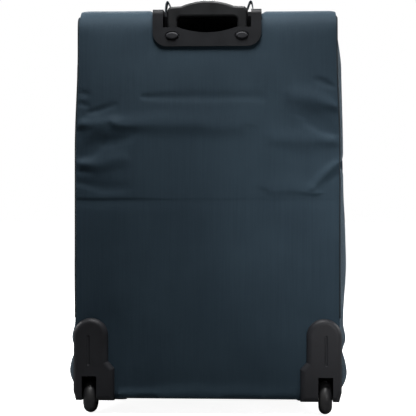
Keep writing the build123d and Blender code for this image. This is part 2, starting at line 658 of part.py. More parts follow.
def button_spring():
    """Return spring under the yoke, squeezed while the button is held in."""
    wire, coil = 0.4, 3.5
    start = GRIP_UNDERSIDE + 1.2 + wire + 0.1
    path = Helix(pitch=1.2, height=3.6, radius=coil)
    section = Plane(origin=path @ 0, z_dir=path % 0) * Circle(wire)
    return Pos(0, TUBE_Y, start) * sweep(section, path=path, is_frenet=True)


# ---- Wheels ------------------------------------------------------------------------------------
def housing_outline():
    """The housing seen from the rear: a foot that steps in at its shoulder to a round-topped arch."""
    shoulder, step = 87, 13
    inner = ARCH_X - ARCH_RADIUS
    arch = ThreePointArc((inner, ARCH_Z), (ARCH_X, ARCH_Z + ARCH_RADIUS), (HOUSING_OUTER_X, ARCH_Z))
    foot = Polyline(
        (HOUSING_OUTER_X, ARCH_Z),
        (HOUSING_OUTER_X, HOUSING_LOW + LEAN_HEIGHT),
        (HOUSING_OUTER_X - LEAN_IN, HOUSING_LOW),
        (HOUSING_INNER_X, HOUSING_LOW),
        (HOUSING_INNER_X, shoulder),
        (inner, shoulder + step),
        (inner, ARCH_Z),
    )
    return make_face(arch + foot)


def housing_flutes():
    """Two round-ended grooves that leave a thin rib down the middle of the arch."""
    radius, offset, sunk, ends = 3.6, 3.6, 2, (96, 148)
    cuts = Part()
    for x in (ARCH_X - offset, ARCH_X + offset):
        cuts += rod_z(x, HOUSING_REAR + sunk, ends, radius)
        cuts += [Pos(x, HOUSING_REAR + sunk, z) * Sphere(radius) for z in ends]
    return cuts


def housing_cheek(rear):
    """Side of the housing: a round-cornered plate on the fabric, and a skirt that leans in below it."""
    skirt_top = HOUSING_LOW + LEAN_HEIGHT
    plate = block((HALF + GAP, HOUSING_OUTER_X), (CHEEK_FRONT, rear), (skirt_top, CHEEK_TOP))
    plate = fillet(plate.edges().filter_by(Axis.X).group_by(Axis.Z)[-1].sort_by(Axis.Y)[0], 30)
    skirt = Polygon(
        (HALF + GAP, skirt_top),
        (HOUSING_OUTER_X, skirt_top),
        (HOUSING_OUTER_X - LEAN_IN, HOUSING_LOW),
        (HALF - FABRIC + GAP, HOUSING_LOW),
        align=None,
    )
    return plate + slab_y(skirt, CORNER_FRONT + GAP, rear)


def wheel_housing_right():
    """Corner moulding: arched rear cover, well round the wheel, skid plate and side cheek."""
    rear, wall = REAR_FACE + GAP, WELL_HALF_OUTER - WELL_HALF_INNER
    cover = slab_y(housing_outline(), rear, HOUSING_REAR)
    cover = fillet(cover.edges().group_by(Axis.Y)[-1], 10)
    inner_plate = rear + 4
    plate = block(
        (HOUSING_INNER_X, HOUSING_OUTER_X - LEAN_IN),
        (HOUSING_FRONT, inner_plate),
        (HOUSING_LOW, BODY_BOTTOM - GAP),
    )
    well = block(
        (WHEEL_X - WELL_HALF_OUTER, WHEEL_X + WELL_HALF_OUTER),
        (WELL_FRONT, rear + 1),
        (HOUSING_LOW, WELL_TOP),
    )
    inside = (WHEEL_X - WELL_HALF_INNER, WHEEL_X + WELL_HALF_INNER)
    hollow = block(inside, (WELL_FRONT + wall, rear + 1), (0, WELL_TOP - wall))
    hollow += block(inside, (rear, HOUSING_REAR + 5), (0, WELL_TOP - wall - 2))
    axle = rod_x((WHEEL_X - 30, WHEEL_X + 24), WHEEL_Y, WHEEL_RADIUS, AXLE_RADIUS + 0.1)
    for low_x, high_x in ((-21, -WELL_HALF_OUTER), (WELL_HALF_OUTER, 21)):
        axle += rod_x((WHEEL_X + low_x, WHEEL_X + high_x), WHEEL_Y, WHEEL_RADIUS, AXLE_HEAD + 0.4)
    screws = Sketch() + [Pos(x, z) * Circle(SCREW_RADIUS + 0.1) for x, z in HOUSING_SCREWS]
    cuts = housing_flutes() + hollow + axle + slab_y(screws, rear - 1, rear + 7)
    return cover + plate + housing_cheek(inner_plate) + well - cuts


def wheel_housing_left():
    return flip(wheel_housing_right())


def wheel_part(profile):
    """Revolves a profile, drawn as (along the axle, radius), round the right wheel's axis."""
    solid = revolve(Plane.XY * profile, axis=Axis.X)
    return Pos(WHEEL_X, WHEEL_Y, WHEEL_RADIUS) * solid


def tyre_right():
    """Round-treaded tyre, fitted on the hub's rim."""
    half, shoulder = WHEEL_WIDTH / 2, WHEEL_RADIUS - 10
    tread = ThreePointArc((-half, shoulder), (0, WHEEL_RADIUS), (half, shoulder))
    sides = Polyline((half, shoulder), (half - 1, RIM_RADIUS), (1 - half, RIM_RADIUS), (-half, shoulder))
    return wheel_part(make_face(tread + sides))


def hub_right():
    rim_inside, boss_outside = RIM_RADIUS - 3, BEARING_RADIUS + 2.8
    rim = Pos(0, RIM_RADIUS - 1.5) * Rectangle(22, 3)
    web = Pos(0, (rim_inside + boss_outside) / 2) * Rectangle(6, rim_inside - boss_outside + 2)
    boss = Pos(0, BEARING_RADIUS + 1.5) * Rectangle(21, 2.8)
    return wheel_part(rim + web + boss)


def bearings_right():
    """Two sealed ball bearings per wheel, 7 mm wide."""
    width, bore, offset = 7, AXLE_RADIUS + 0.1, 6.8
    ring = Pos(0, (BEARING_RADIUS + bore) / 2) * Rectangle(width, BEARING_RADIUS - bore)
    return Compound(children=[(Pos(x, 0, 0) * wheel_part(ring)).solid() for x in (-offset, offset)])


def wheel_axles():
    """Steel pins with a head at each end, through both walls of the well."""
    left, right = WHEEL_X - WELL_HALF_OUTER, WHEEL_X + WELL_HALF_OUTER
    head = 3
    pin = rod_x((left - head, right + head), WHEEL_Y, WHEEL_RADIUS, AXLE_RADIUS)
    for x in ((left - head, left - GAP), (right + GAP, right + head)):
        pin += rod_x(x, WHEEL_Y, WHEEL_RADIUS, AXLE_HEAD)
    return pair(pin)


def axle_washers():
    """Spacers that keep the hub clear of the well, and one between the bearings."""
    rings = []
    for low, high in ((-13.5, -10.6), (-3.1, 3.1), (10.6, 13.5)):
        tube = rod_x((WHEEL_X + low, WHEEL_X + high), WHEEL_Y, WHEEL_RADIUS, 5.5)
        tube -= rod_x((WHEEL_X + low - 1, WHEEL_X + high + 1), WHEEL_Y, WHEEL_RADIUS, AXLE_RADIUS + 0.1)
        rings += tube.solids()
    return pair(Compound(children=rings))


# ---- Feet and fixings --------------------------------------------------------------------------
def front_feet():
    top = BODY_BOTTOM - GAP
    foot = block(FEET_X, FEET_Y, (0, top))
    foot = fillet(foot.edges().filter_by(Axis.Z), 10)
    foot = chamfer(foot.edges().group_by(Axis.Z)[0], 2)
    for x, y in FEET_SCREW_POINTS:
        foot -= rod_z(x, y, (top - 14, top + 1), SCREW_RADIUS + 0.1)
    return pair(foot)


def case_screws():
    """Identical pan-head screws, all driven from inside the case."""
    seats = [Plane(origin=(x, BOARD_FRONT - GAP, z), z_dir=(0, 1, 0)) for x, z in HOUSING_SCREWS]
    seats += [Plane(origin=(x, FOOT_SCREW_SEAT - GAP, z), z_dir=(0, 1, 0)) for x, z in FOOT_SCREWS]
    seats += [Plane(origin=(x, y, BODY_TOP - FABRIC - GAP), z_dir=(0, 0, 1)) for x, y in TOP_SCREWS]
    seats += [Plane(origin=(x, y, TRAY_TOP + GAP), z_dir=(0, 0, -1)) for x, y in FEET_SCREW_POINTS]
    head = Pos(0, 0, -HEAD_HEIGHT / 2) * Cylinder(HEAD_RADIUS, HEAD_HEIGHT)
    shank = Pos(0, 0, SCREW_LENGTH / 2) * Cylinder(SCREW_RADIUS, SCREW_LENGTH)
    return pair(Compound(children=[(seat * (head + shank)).solid() for seat in seats]))


# ---- Carry handles and packing straps ----------------------------------------------------------
def handle_anchors():
    """Sewn patches that the ends of the carry handles' webbing are fixed under."""
    top_y = (TOP_HANDLE_Y - TOP_PATCH_HALF_Y, TOP_HANDLE_Y + TOP_PATCH_HALF_Y)
    side_y = (SIDE_HANDLE_Y - SIDE_PATCH_HALF_Y, SIDE_HANDLE_Y + SIDE_PATCH_HALF_Y)
    solids = block(TOP_PATCH_X, top_y, (BODY_TOP + GAP, BODY_TOP + PATCH_THICK)).solids()
    for z in (SIDE_HANDLE_MID_Z - SIDE_PATCH_OFFSET, SIDE_HANDLE_MID_Z + SIDE_PATCH_OFFSET):
        side_z = (z - SIDE_PATCH_HALF_Z, z + SIDE_PATCH_HALF_Z)
        solids += block((HALF + GAP, HALF + PATCH_THICK), side_y, side_z).solids()
    return pair(Compound(children=solids))


def top_handle():
    """Padded grip that lies on the top, between two standing loops of webbing."""
    y = (TOP_HANDLE_Y - TOP_HANDLE_WIDTH / 2, TOP_HANDLE_Y + TOP_HANDLE_WIDTH / 2)
    inner = LOOP_OUTER - WEBBING
    arch_z = LOOP_TOP - LOOP_OUTER
    loop = slab_y(Pos(LOOP_X, arch_z) * (Circle(LOOP_OUTER) - Circle(inner)), *y)
    loop &= block((0, HALF), y, (arch_z, LOOP_TOP))
    for foot, low_x in ((BODY_TOP + 3, LOOP_X + inner), (BODY_TOP + 8, LOOP_X - LOOP_OUTER)):
        loop += block((low_x, low_x + WEBBING), y, (foot, arch_z))
    half = LOOP_X - LOOP_OUTER - 0.1
    pad = block((-half, half), (y[0] - 3, y[1] + 3), (BODY_TOP + 5, BODY_TOP + 17))
    pad = fillet(pad.edges().filter_by(Axis.X), 5)
    return Compound(children=[pad.solid(), *pair(loop).solids()])


def side_handle_right():
    """Flat webbing with a padded grip, which pulls out from the side."""
    y = (SIDE_HANDLE_Y - 11, SIDE_HANDLE_Y + 11)
    long = (SIDE_HANDLE_MID_Z - SIDE_WEBBING_HALF, SIDE_HANDLE_MID_Z + SIDE_WEBBING_HALF)
    short = (SIDE_HANDLE_MID_Z - SIDE_PAD_HALF, SIDE_HANDLE_MID_Z + SIDE_PAD_HALF)
    webbing = block((HALF + 1.5, HALF + 3.3), y, long)
    pad = block((HALF + 3.5, HALF + SIDE_HANDLE_OUT), (y[0] - 3, y[1] + 3), short)
    pad = fillet(pad.edges().filter_by(Axis.Z), 3)
    return Compound(children=[webbing.solid(), pad.solid()])


def side_handle_left():
    return flip(side_handle_right())


STRAP_Z, STRAP_HALF_WIDTH = 420, 12.5
STRAP_REAR, STRAP_THICK = LINING_REAR - 1.3, 1.8
BUCKLE_REAR, BUCKLE_THICK, BUCKLE_HALF = STRAP_REAR - 2, 7, 16


def packing_straps():
    """Two webbing straps that lie against the lining and meet at the buckle."""
    z = (STRAP_Z - STRAP_HALF_WIDTH, STRAP_Z + STRAP_HALF_WIDTH)
    return pair(block((4, HALF - LINING_INSET - 1.5), (STRAP_REAR - STRAP_THICK, STRAP_REAR), z))


def buckle_body(low_x, high_x):
    z = (STRAP_Z - BUCKLE_HALF, STRAP_Z + BUCKLE_HALF)
    body = block((low_x, high_x), (BUCKLE_REAR - BUCKLE_THICK, BUCKLE_REAR), z)
    return fillet(body.edges().filter_by(Axis.Y), 4)


def packing_buckle_socket():
    """Half with a slot that the plug's two prongs push into."""
    slot = block((-20, 5), (BUCKLE_REAR - 5.2, BUCKLE_REAR - 1.8), (STRAP_Z - 11, STRAP_Z + 11))
    return buckle_body(-34, 0) - slot


def packing_buckle_plug():
    plug = buckle_body(0.5, 22)
    for middle in (STRAP_Z - 7, STRAP_Z + 7):
        plug += block((-17, 2), (BUCKLE_REAR - 5, BUCKLE_REAR - 2), (middle - 2, middle + 2))
    return plug


# ---- Export ------------------------------------------------------------------------------------
PIECES = [
    rear_panel, top_panel, side_panel_right, side_panel_left, bottom_panel, side_piping, lid_piping,
    back_board, base_tray, wire_hoop, case_lining, lid_panel, lid_lining, case_zip, lid_zip,
    upper_pocket, lower_pocket, pocket_zips,
    bezel, bezel_caps, outer_tubes, tube_collars, trolley_foot, inner_tubes, pin_blocks,
    lock_pin_right, lock_pin_left, grip_rear_shell, grip_front_shell, grip_screws, release_button,
    push_rods, button_spring,
    wheel_housing_right, wheel_housing_left, tyre_right, hub_right, bearings_right, wheel_axles,
    axle_washers, front_feet, case_screws,
    handle_anchors, top_handle, side_handle_right, side_handle_left,
    packing_straps, packing_buckle_socket, packing_buckle_plug,
]


def build():
    pieces = {piece.__name__: piece() for piece in PIECES}
    for name in ("tyre", "hub", "bearings"):
        pieces[f"{name}_left"] = flip(pieces[f"{name}_right"])
    for name, plane in ZIP_PLANES.items():
        pieces[name.format("slider")] = slider(plane)
        pieces[name.format("pull")] = pull(plane)
    return pieces


os.makedirs("parts", exist_ok=True)
for name, piece in build().items():
    export_step(piece, f"parts/{name}.step")
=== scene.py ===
import math

import bmesh
import bpy
import numpy as np
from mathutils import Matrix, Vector, noise


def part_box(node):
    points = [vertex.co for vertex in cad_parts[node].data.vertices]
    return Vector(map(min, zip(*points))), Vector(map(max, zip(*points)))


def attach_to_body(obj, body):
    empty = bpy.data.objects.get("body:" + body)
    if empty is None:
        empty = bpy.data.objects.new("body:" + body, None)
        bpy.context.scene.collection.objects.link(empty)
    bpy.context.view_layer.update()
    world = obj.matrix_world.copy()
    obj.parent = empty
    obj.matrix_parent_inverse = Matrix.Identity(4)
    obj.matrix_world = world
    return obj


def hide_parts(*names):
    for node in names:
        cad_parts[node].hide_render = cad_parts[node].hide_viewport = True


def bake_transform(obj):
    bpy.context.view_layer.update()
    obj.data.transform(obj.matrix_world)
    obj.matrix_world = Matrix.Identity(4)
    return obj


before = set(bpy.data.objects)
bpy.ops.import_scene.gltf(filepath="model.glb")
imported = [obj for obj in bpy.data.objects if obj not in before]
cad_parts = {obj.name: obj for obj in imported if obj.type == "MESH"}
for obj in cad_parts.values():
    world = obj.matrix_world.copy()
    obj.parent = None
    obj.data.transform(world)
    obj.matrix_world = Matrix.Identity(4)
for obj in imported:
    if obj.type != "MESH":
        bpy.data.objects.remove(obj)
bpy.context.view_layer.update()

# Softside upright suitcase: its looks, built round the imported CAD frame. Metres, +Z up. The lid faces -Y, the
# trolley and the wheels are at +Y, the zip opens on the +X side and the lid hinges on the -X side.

# ---- Sizes, from the frame ----
rear_low, rear_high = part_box("rear_panel")
side_low, side_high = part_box("side_panel_right")

HALF = side_high.x
BOTTOM, TOP = rear_low.z, rear_high.z
REAR = rear_high.y
ZIP_EDGE = side_low.y
LID_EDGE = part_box("lid_zip")[0].y
LID_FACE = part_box("lid_panel")[0].y
ZIP_Y = (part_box("case_zip")[0].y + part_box("lid_zip")[1].y) / 2
MID_Z, HEIGHT = (BOTTOM + TOP) / 2, TOP - BOTTOM

# Corners of the body: tight at the rear, wide at the zip and on the lid, as the CAD body is lofted.
REAR_CORNER, ZIP_CORNER = 0.0055, 0.045
TOP_ROLL = REAR - rear_low.y
BOTTOM_ROLL = 0.005
CREASE_Z = BOTTOM + 0.515 * HEIGHT

# The rear draws in a little between two heights, and its rolled top edge is stuffed fuller beside the bezel,
# a little more so at the right than at the left.
NARROWING, NARROW_FROM, NARROW_TO = 0.0055, 0.50, 0.69
CROWN, CROWN_LEAN = 0.0105, 0.0016
CROWN_MIDDLE, CROWN_REACH = REAR - 0.042, 0.024

SHELL_THICK, POCKET_THICK, LINING_THICK = 0.0022, 0.0016, 0.0007
SAME = 1e-6
SIDES = ((1, "right"), (-1, "left"))
SQUARE = ((-1, -1), (1, -1), (1, 1), (-1, 1))


# ---- Mesh helpers ----
def add_object(name, data):
    item = bpy.data.objects.new(name, data)
    bpy.context.scene.collection.objects.link(item)
    return item


def make_object(name, points, faces, slot, material=None, smooth=True):
    """Mesh object from points and faces, in the material of its slot, or in the material given."""
    mesh = bpy.data.meshes.new(name)
    mesh.from_pydata([tuple(p) for p in points], [], faces)
    mesh.validate()
    piece = add_object(name, mesh)
    set_material(piece, slot, material)
    mesh.polygons.foreach_set("use_smooth", [smooth] * len(mesh.polygons))
    return piece


def set_material(piece, slot, material=None):
    piece.data.materials.clear()
    piece.data.materials.append(material or MATERIALS[slot])


def attach(piece, body, *nodes):
    """Lets a piece ride a body, in place of the CAD nodes it stands for."""
    if any(nodes):
        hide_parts(*nodes)
    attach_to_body(piece, body)


def vertex_values(mesh, key):
    """Coordinates (key "co") or normals (key "normal") of a mesh, a row per vertex."""
    flat = np.zeros(len(mesh.vertices) * 3, np.float32)
    mesh.vertices.foreach_get(key, flat)
    return flat.reshape(-1, 3).astype(float)


def set_coordinates(piece, points):
    piece.data.vertices.foreach_set("co", np.asarray(points, np.float32).ravel())
    piece.data.update()


def add_subdivision(piece):
    modifier = piece.modifiers.new("subdivision", "SUBSURF")
    modifier.levels = modifier.render_levels = 1


def add_thickness(piece, thickness):
    """Thickens a sheet inwards."""
    modifier = piece.modifiers.new("thickness", "SOLIDIFY")
    modifier.thickness = thickness
    modifier.offset = -1


def apply_modifiers(piece):
    """Bakes the piece's modifiers into its mesh."""
    evaluated = piece.evaluated_get(bpy.context.evaluated_depsgraph_get())
    mesh = bpy.data.meshes.new_from_object(evaluated)
    piece.modifiers.clear()
    piece.data = mesh


def keep_sharp(piece, on_seam):
    """Keeps the edges along a seam crisp when the piece is subdivided."""
    crease = piece.data.attributes.new("crease_edge", "FLOAT", "EDGE")
    for edge, held in zip(piece.data.edges, crease.data):
        if on_seam[edge.vertices[0]] and on_seam[edge.vertices[1]]:
            held.value = 1


def spread(low, high, step, *exact):
    """Evenly spaced values from low to high, with each of the exact values among them."""
    stops = [low, *sorted(exact), high]
    values = [low]
    for start, end in zip(stops, stops[1:]):
        count = max(1, round((end - start) / step))
        values += [start + (end - start) * n / count for n in range(1, count + 1)]
    return values


def smooth_step(value, low, high):
    share = np.clip((value - low) / (high - low), 0, 1)
    return share * share * (3 - 2 * share)


def bell(value, middle, width):
    return np.exp(-(((value - middle) / width) ** 2))


def noise_at(points, scale, seed=0.0):
    """Smooth noise from -1 to 1 at each point, the same on every run."""
    shift = Vector((seed, 2.3 * seed, -1.7 * seed))
    return np.array([noise.noise(Vector(p) * scale + shift) for p in points])


def directions(path):
    """Unit direction of a path at each of its points."""
    ends = zip([path[0], *path[:-1]], [*path[1:], path[-1]])
    return [(after - before).normalized() for before, after in ends]


def skin_rings(count, sides):
    """Faces between rings of points, one ring after another, with a cap at each end."""
    faces = []
    for n in range(count - 1):
        a, b = n * sides, (n + 1) * sides
        faces += [(a + k, a + (k + 1) % sides, b + (k + 1) % sides, b + k) for k in range(sides)]
    return faces + [tuple(reversed(range(sides))), tuple((count - 1) * sides + k for k in range(sides))]


def cord(name, path, radius, slot, sides=10):
    """Round cord that follows a path of points."""
    path = [Vector(p) for p in path]
    along_path = directions(path)
    side = along_path[0].orthogonal()
    points = []
    for here, along in zip(path, along_path):
        side = (side - along * side.dot(along)).normalized()
        other = along.cross(side)
        for k in range(sides):
            angle = 2 * math.pi * k / sides
            points.append(here + radius * (math.cos(angle) * side + math.sin(angle) * other))
    return make_object(name, points, skin_rings(len(path), sides), slot)


def strap(name, path, across, width, thickness, slot):
    """Flat strip that follows a path, in the material of its slot. across is the direction of its width."""
    path = [Vector(p) for p in path]
    profile = rounded_profile(width / 2, thickness / 2)
    points = []
    for here, along in zip(path, directions(path)):
        wide = Vector(across)
        wide = (wide - along * wide.dot(along)).normalized()
        up = along.cross(wide)
        points += [here + wide * u + up * v for u, v in profile]
    return make_object(name, points, skin_rings(len(path), len(profile)), slot)


def rounded_profile(half_width, half_thickness):
    """Outline of a strap's section, with soft edges and a point every quarter of its width."""
    edge = min(half_thickness, half_width) * 0.98
    profile = []
    for side in (1, -1):
        for angle in (-90, -45, 0, 45, 90):
            a = math.radians(angle)
            u, v = half_width - edge + edge * math.cos(a), half_thickness * math.sin(a)
            profile.append((side * u, side * v))
        profile += [(side * half_width * share, side * half_thickness) for share in (0.5, 0, -0.5)]
    return profile


# ---- Materials ----
class Nodes:
    """Short way to build a material's node tree."""

    def __init__(self, material):
        self.material = bpy.data.materials.new(material) if isinstance(material, str) else material
        self.material.use_nodes = True
        self.tree = self.material.node_tree
        self.shader = self.tree.nodes["Principled BSDF"]
        self.place = self.add("TexCoord").outputs["Object"]

    def add(self, kind, inputs=None, **settings):
        node = self.tree.nodes.new("ShaderNode" + kind)
        for key, value in settings.items():
            setattr(node, key, value)
        for key, value in (inputs or {}).items():
            self.feed(node.inputs[key], value)
        return node

    def feed(self, socket, value):
        if isinstance(value, bpy.types.NodeSocket):
            self.tree.links.new(value, socket)
        else:
            socket.default_value = (*value, 1.0) if socket.type == "RGBA" else value

    def math(self, operation, a, b=0.0, clamp=False):
        return self.add("Math", {0: a, 1: b}, operation=operation, use_clamp=clamp).outputs[0]

    def times(self, a, b):
        return self.math("MULTIPLY", a, b)

    def plus(self, a, b, clamp=False):
        return self.math("ADD", a, b, clamp)

    def scaled(self, x, y, z):
        """The piece's coordinates, stretched per axis."""
        return self.add("Mapping", {"Vector": self.place, "Scale": (x, y, z)}).outputs[0]

    def noise(self, scale, detail=2.0, vector=None):
        inputs = {"Vector": vector or self.place, "Scale": scale, "Detail": detail}
        return self.add("TexNoise", inputs).outputs["Fac"]

    def mix(self, share, a, b):
        return self.add("Mix", {"Factor": share, "A": a, "B": b}, data_type="RGBA").outputs["Result"]

    def bump(self, height, strength, distance, under=None):
        inputs = {"Height": height, "Strength": strength, "Distance": distance}
        if under is not None:
            inputs["Normal"] = under
        return self.add("Bump", inputs).outputs["Normal"]

    def remap(self, value, low, high, new_low=0.0, new_high=1.0):
        inputs = enumerate((value, low, high, new_low, new_high))
        return self.add("MapRange", dict(inputs)).outputs[0]

    def surface(self, **inputs):
        for key, value in inputs.items():
            self.feed(self.shader.inputs[key.replace("_", " ")], value)
        return self.material


def woven(name, dark, light, thread=0.0011, sheen=0.25):
    """Plain-woven cloth: threads both ways, long faint streaks and slow patches of shade."""
    n = Nodes(name)
    x, y, z = n.add("SeparateXYZ", {"Vector": n.place}).outputs
    turn = 2 * math.pi / thread
    across = n.math("SINE", n.times(n.plus(x, y), turn))
    upward = n.math("SINE", n.times(n.plus(z, n.times(y, 0.5)), turn))
    weave = n.times(across, upward)
    streak = n.noise(1.0, 3.0, n.scaled(420, 420, 9))
    patch = n.noise(7.0, 3.0)
    shade = n.plus(n.times(streak, 0.3), n.times(patch, 0.7))
    shade = n.remap(shade, 0.35, 0.65)
    fleck = n.times(weave, 0.12)
    tone = n.mix(n.plus(shade, fleck, clamp=True), dark, light)
    height = n.plus(n.times(weave, 0.5), n.times(streak, 0.35))
    normal = n.bump(height, 0.5, 0.00025)
    crumple = n.bump(n.noise(55.0, 3.0), 0.25, 0.0012, normal)
    return n.surface(Base_Color=tone, Roughness=0.72, Normal=crumple, Sheen_Weight=sheen,
                     Sheen_Roughness=0.45, Sheen_Tint=(0.5, 0.62, 0.72), Specular_IOR_Level=0.25)


def webbing(name, dark, light):
    """Heavy strap weave with herringbone ribs."""
    n = Nodes(name)
    x, y, z = n.add("SeparateXYZ", {"Vector": n.place}).outputs
    diagonal = n.plus(n.plus(x, z), n.times(y, 1.4))
    rib = n.math("SINE", n.times(diagonal, 2 * math.pi / 0.0022))
    counter = n.math("SUBTRACT", n.plus(x, y), z)
    cross = n.math("SINE", n.times(counter, 2 * math.pi / 0.0016))
    height = n.plus(rib, n.times(cross, 0.4))
    fibre = n.noise(900.0, 2.0)
    tone = n.mix(n.remap(n.plus(n.times(height, 0.2), fibre), 0.2, 0.9), dark, light)
    normal = n.bump(n.plus(height, fibre), 0.6, 0.0004)
    return n.surface(Base_Color=tone, Roughness=0.62, Normal=normal, Sheen_Weight=0.2)


def moulded(name, base, rough=0.5, grain=0.35, size=1400.0, level=0.4):
    """Moulded plastic with a fine spark-eroded grain and slightly uneven gloss."""
    n = Nodes(name)
    pits = n.noise(size, 2.0)
    slow = n.noise(35.0, 3.0)
    tone = n.mix(n.remap(slow, 0.3, 0.7), base, [channel * 1.35 for channel in base])
    gloss = n.remap(n.plus(pits, slow), 0.7, 1.3, rough - 0.08, rough + 0.08)
    return n.surface(Base_Color=tone, Roughness=gloss, Normal=n.bump(pits, grain, 0.0003),
                     Specular_IOR_Level=level)


def shaded_inside(material):
    """Black inside the handle cup, where little light gets in: in front of the rear face, below the top."""
    n = Nodes(material)
    _, y, z = n.add("SeparateXYZ", {"Vector": n.place}).outputs
    inside = n.times(n.math("LESS_THAN", y, REAR), n.math("LESS_THAN", z, TOP))
    plain = n.shader.inputs["Base Color"].links[0].from_socket
    return n.surface(
        Base_Color=n.mix(inside, plain, (0.0015, 0.0015, 0.002)),
        Specular_IOR_Level=n.remap(inside, 0, 1, 0.25, 0.03),
    )


def metal(name, base, rough=0.3, stretch=(60, 60, 900)):
    """Drawn or polished metal with fine lines along one way."""
    n = Nodes(name)
    lines = n.noise(3.0, 3.0, n.scaled(*stretch))
    tone = n.mix(lines, [channel * 0.8 for channel in base], base)
    gloss = n.remap(lines, 0.3, 0.7, rough - 0.07, rough + 0.1)
    return n.surface(Base_Color=tone, Metallic=1.0, Roughness=gloss, Normal=n.bump(lines, 0.12, 0.0002))


def rubber(name, base):
    n = Nodes(name)
    fine = n.noise(700.0, 3.0)
    dust = n.remap(n.noise(60.0, 4.0), 0.45, 0.75)
    tone = n.mix(n.times(dust, 0.35), base, (0.09, 0.088, 0.085))
    gloss = n.remap(fine, 0.3, 0.7, 0.38, 0.52)
    return n.surface(Base_Color=tone, Roughness=gloss, Normal=n.bump(fine, 0.2, 0.0003),
                     Specular_IOR_Level=0.5)


BEZEL_PLASTIC = shaded_inside(moulded("bezel_plastic", (0.0085, 0.0092, 0.0112), rough=0.6, level=0.25))
NAVY_DARK, NAVY_LIGHT = (0.0105, 0.0255, 0.040), (0.0185, 0.038, 0.0555)
MATERIALS = {
    "shell_fabric": woven("shell_fabric", NAVY_DARK, NAVY_LIGHT),
    "lining": woven("lining_cloth", (0.17, 0.18, 0.19), (0.24, 0.25, 0.265), 0.0007, sheen=0.1),
    "zip_tape": woven("zip_tape", (0.006, 0.008, 0.011), (0.012, 0.014, 0.018), thread=0.0009),
    "piping": woven("piping_cloth", (0.0035, 0.0075, 0.011), (0.007, 0.013, 0.018), thread=0.0009),
    "webbing": webbing("webbing", (0.005, 0.012, 0.019), (0.016, 0.034, 0.05)),
    "black_plastic": moulded("black_plastic", (0.0145, 0.015, 0.018), rough=0.55, level=0.3),
    "grip_plastic": moulded("grip_plastic", (0.010, 0.0105, 0.0115), 0.46, 0.15, 900.0, level=0.3),
    "button_plastic": moulded("button_plastic", (0.24, 0.24, 0.27), rough=0.35, grain=0.1),
    "board": moulded("fibre_board", (0.05, 0.05, 0.052), rough=0.7, size=300.0),
    "tube_aluminium": metal("tube_aluminium", (0.6, 0.61, 0.63), stretch=(900, 900, 12)),
    "steel": metal("steel", (0.5, 0.5, 0.51)),
    "zip_metal": metal("zip_metal", (0.06, 0.06, 0.065), rough=0.32, stretch=(300, 300, 300)),
    "tyre": rubber("tyre_rubber", (0.016, 0.016, 0.018)),
}


# ---- Shape of the body ----
bezel_low, bezel_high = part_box("bezel")
house_low, house_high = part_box("wheel_housing_right")


def corner_radius(y):
    share = np.clip((REAR - y) / (REAR - ZIP_EDGE), 0, 1)
    return REAR_CORNER + share ** 2 * (ZIP_CORNER - REAR_CORNER)


def into_arc(u, v):
    """Moves points of the unit square into the quarter disc, and leaves the rest where they are."""
    inside = (u > 0) & (v > 0)
    length = np.hypot(u, v)
    factor = np.where(inside & (length > 0), np.maximum(u, v) / np.where(length > 0, length, 1), 1)
    return u * factor, v * factor


def round_corners(x, z, radius, half_x=HALF, half_z=HEIGHT / 2, middle_z=MID_Z):
    """Rounds the corners of a rectangle as seen from the rear: the body's, or one of another size."""
    flat_x, flat_z = half_x - radius, half_z - radius
    u, v = into_arc((np.abs(x) - flat_x) / radius, (np.abs(z - middle_z) - flat_z) / radius)
    return np.sign(x) * (flat_x + u * radius), middle_z + np.sign(z - middle_z) * (flat_z + v * radius)


def roll_edge(y, z, edge_z, direction, radius):
    """Rolls the rear edge at the top (direction 1) or the bottom (direction -1)."""
    centre_y, centre_z = REAR - radius, edge_z - direction * radius
    u, v = into_arc((y - centre_y) / radius, direction * (z - centre_z) / radius)
    return centre_y + u * radius, centre_z + direction * v * radius


def case_point(points):
    """Carries points of a plain box onto the case's rounded body."""
    x, y, z = np.array(points, float).T
    x, z = round_corners(x, z, corner_radius(y))
    y, z = roll_edge(y, z, TOP, 1, TOP_ROLL)
    y, z = roll_edge(y, z, BOTTOM, -1, BOTTOM_ROLL)
    back = np.clip((y - ZIP_EDGE) / (REAR - ZIP_EDGE), 0, 1)
    narrow = NARROWING * back * smooth_step(z, NARROW_FROM, NARROW_TO)
    beside_bezel = smooth_step(np.abs(x), bezel_high.x, bezel_high.x + 0.003)
    crown = (CROWN + CROWN_LEAN * np.sign(x)) * bell(y, CROWN_MIDDLE, CROWN_REACH) * beside_bezel
    crown = crown * smooth_step(z, TOP - 0.030, TOP - 0.006)
    return np.stack([x * (1 - narrow / HALF), y, z + crown], 1)


def box_skin(xs, ys, zs, keep=None):
    """Open box as one welded grid: four walls, and the closed end at the last of ys.
    keep says which faces stay, from the middle of each, and without it all do."""
    number, points, faces = {}, [], []

    def point(i, j, k):
        if (i, j, k) not in number:
            number[i, j, k] = len(points)
            points.append((xs[i], ys[j], zs[k]))
        return number[i, j, k]

    def face(*corners):
        middle = [sum(axis[c[a]] for c in corners) / 4 for a, axis in enumerate((xs, ys, zs))]
        if not keep or keep(*middle):
            faces.append(tuple(point(*c) for c in corners))

    right, end, top = [len(axis) - 1 for axis in (xs, ys, zs)]
    for i in range(right):
        for k in range(top):
            face((i, end, k), (i, end, k + 1), (i + 1, end, k + 1), (i + 1, end, k))
        for j in range(end):
            face((i, j, top), (i + 1, j, top), (i + 1, j + 1, top), (i, j + 1, top))
            face((i, j, 0), (i, j + 1, 0), (i + 1, j + 1, 0), (i + 1, j, 0))
    for j in range(end):
        for k in range(top):
            face((right, j, k), (right, j + 1, k), (right, j + 1, k + 1), (right, j, k + 1))
            face((0, j, k), (0, j, k + 1), (0, j + 1, k + 1), (0, j + 1, k))
    if ys[-1] < ys[0]:
        faces = [tuple(reversed(f)) for f in faces]
    return np.array(points), faces


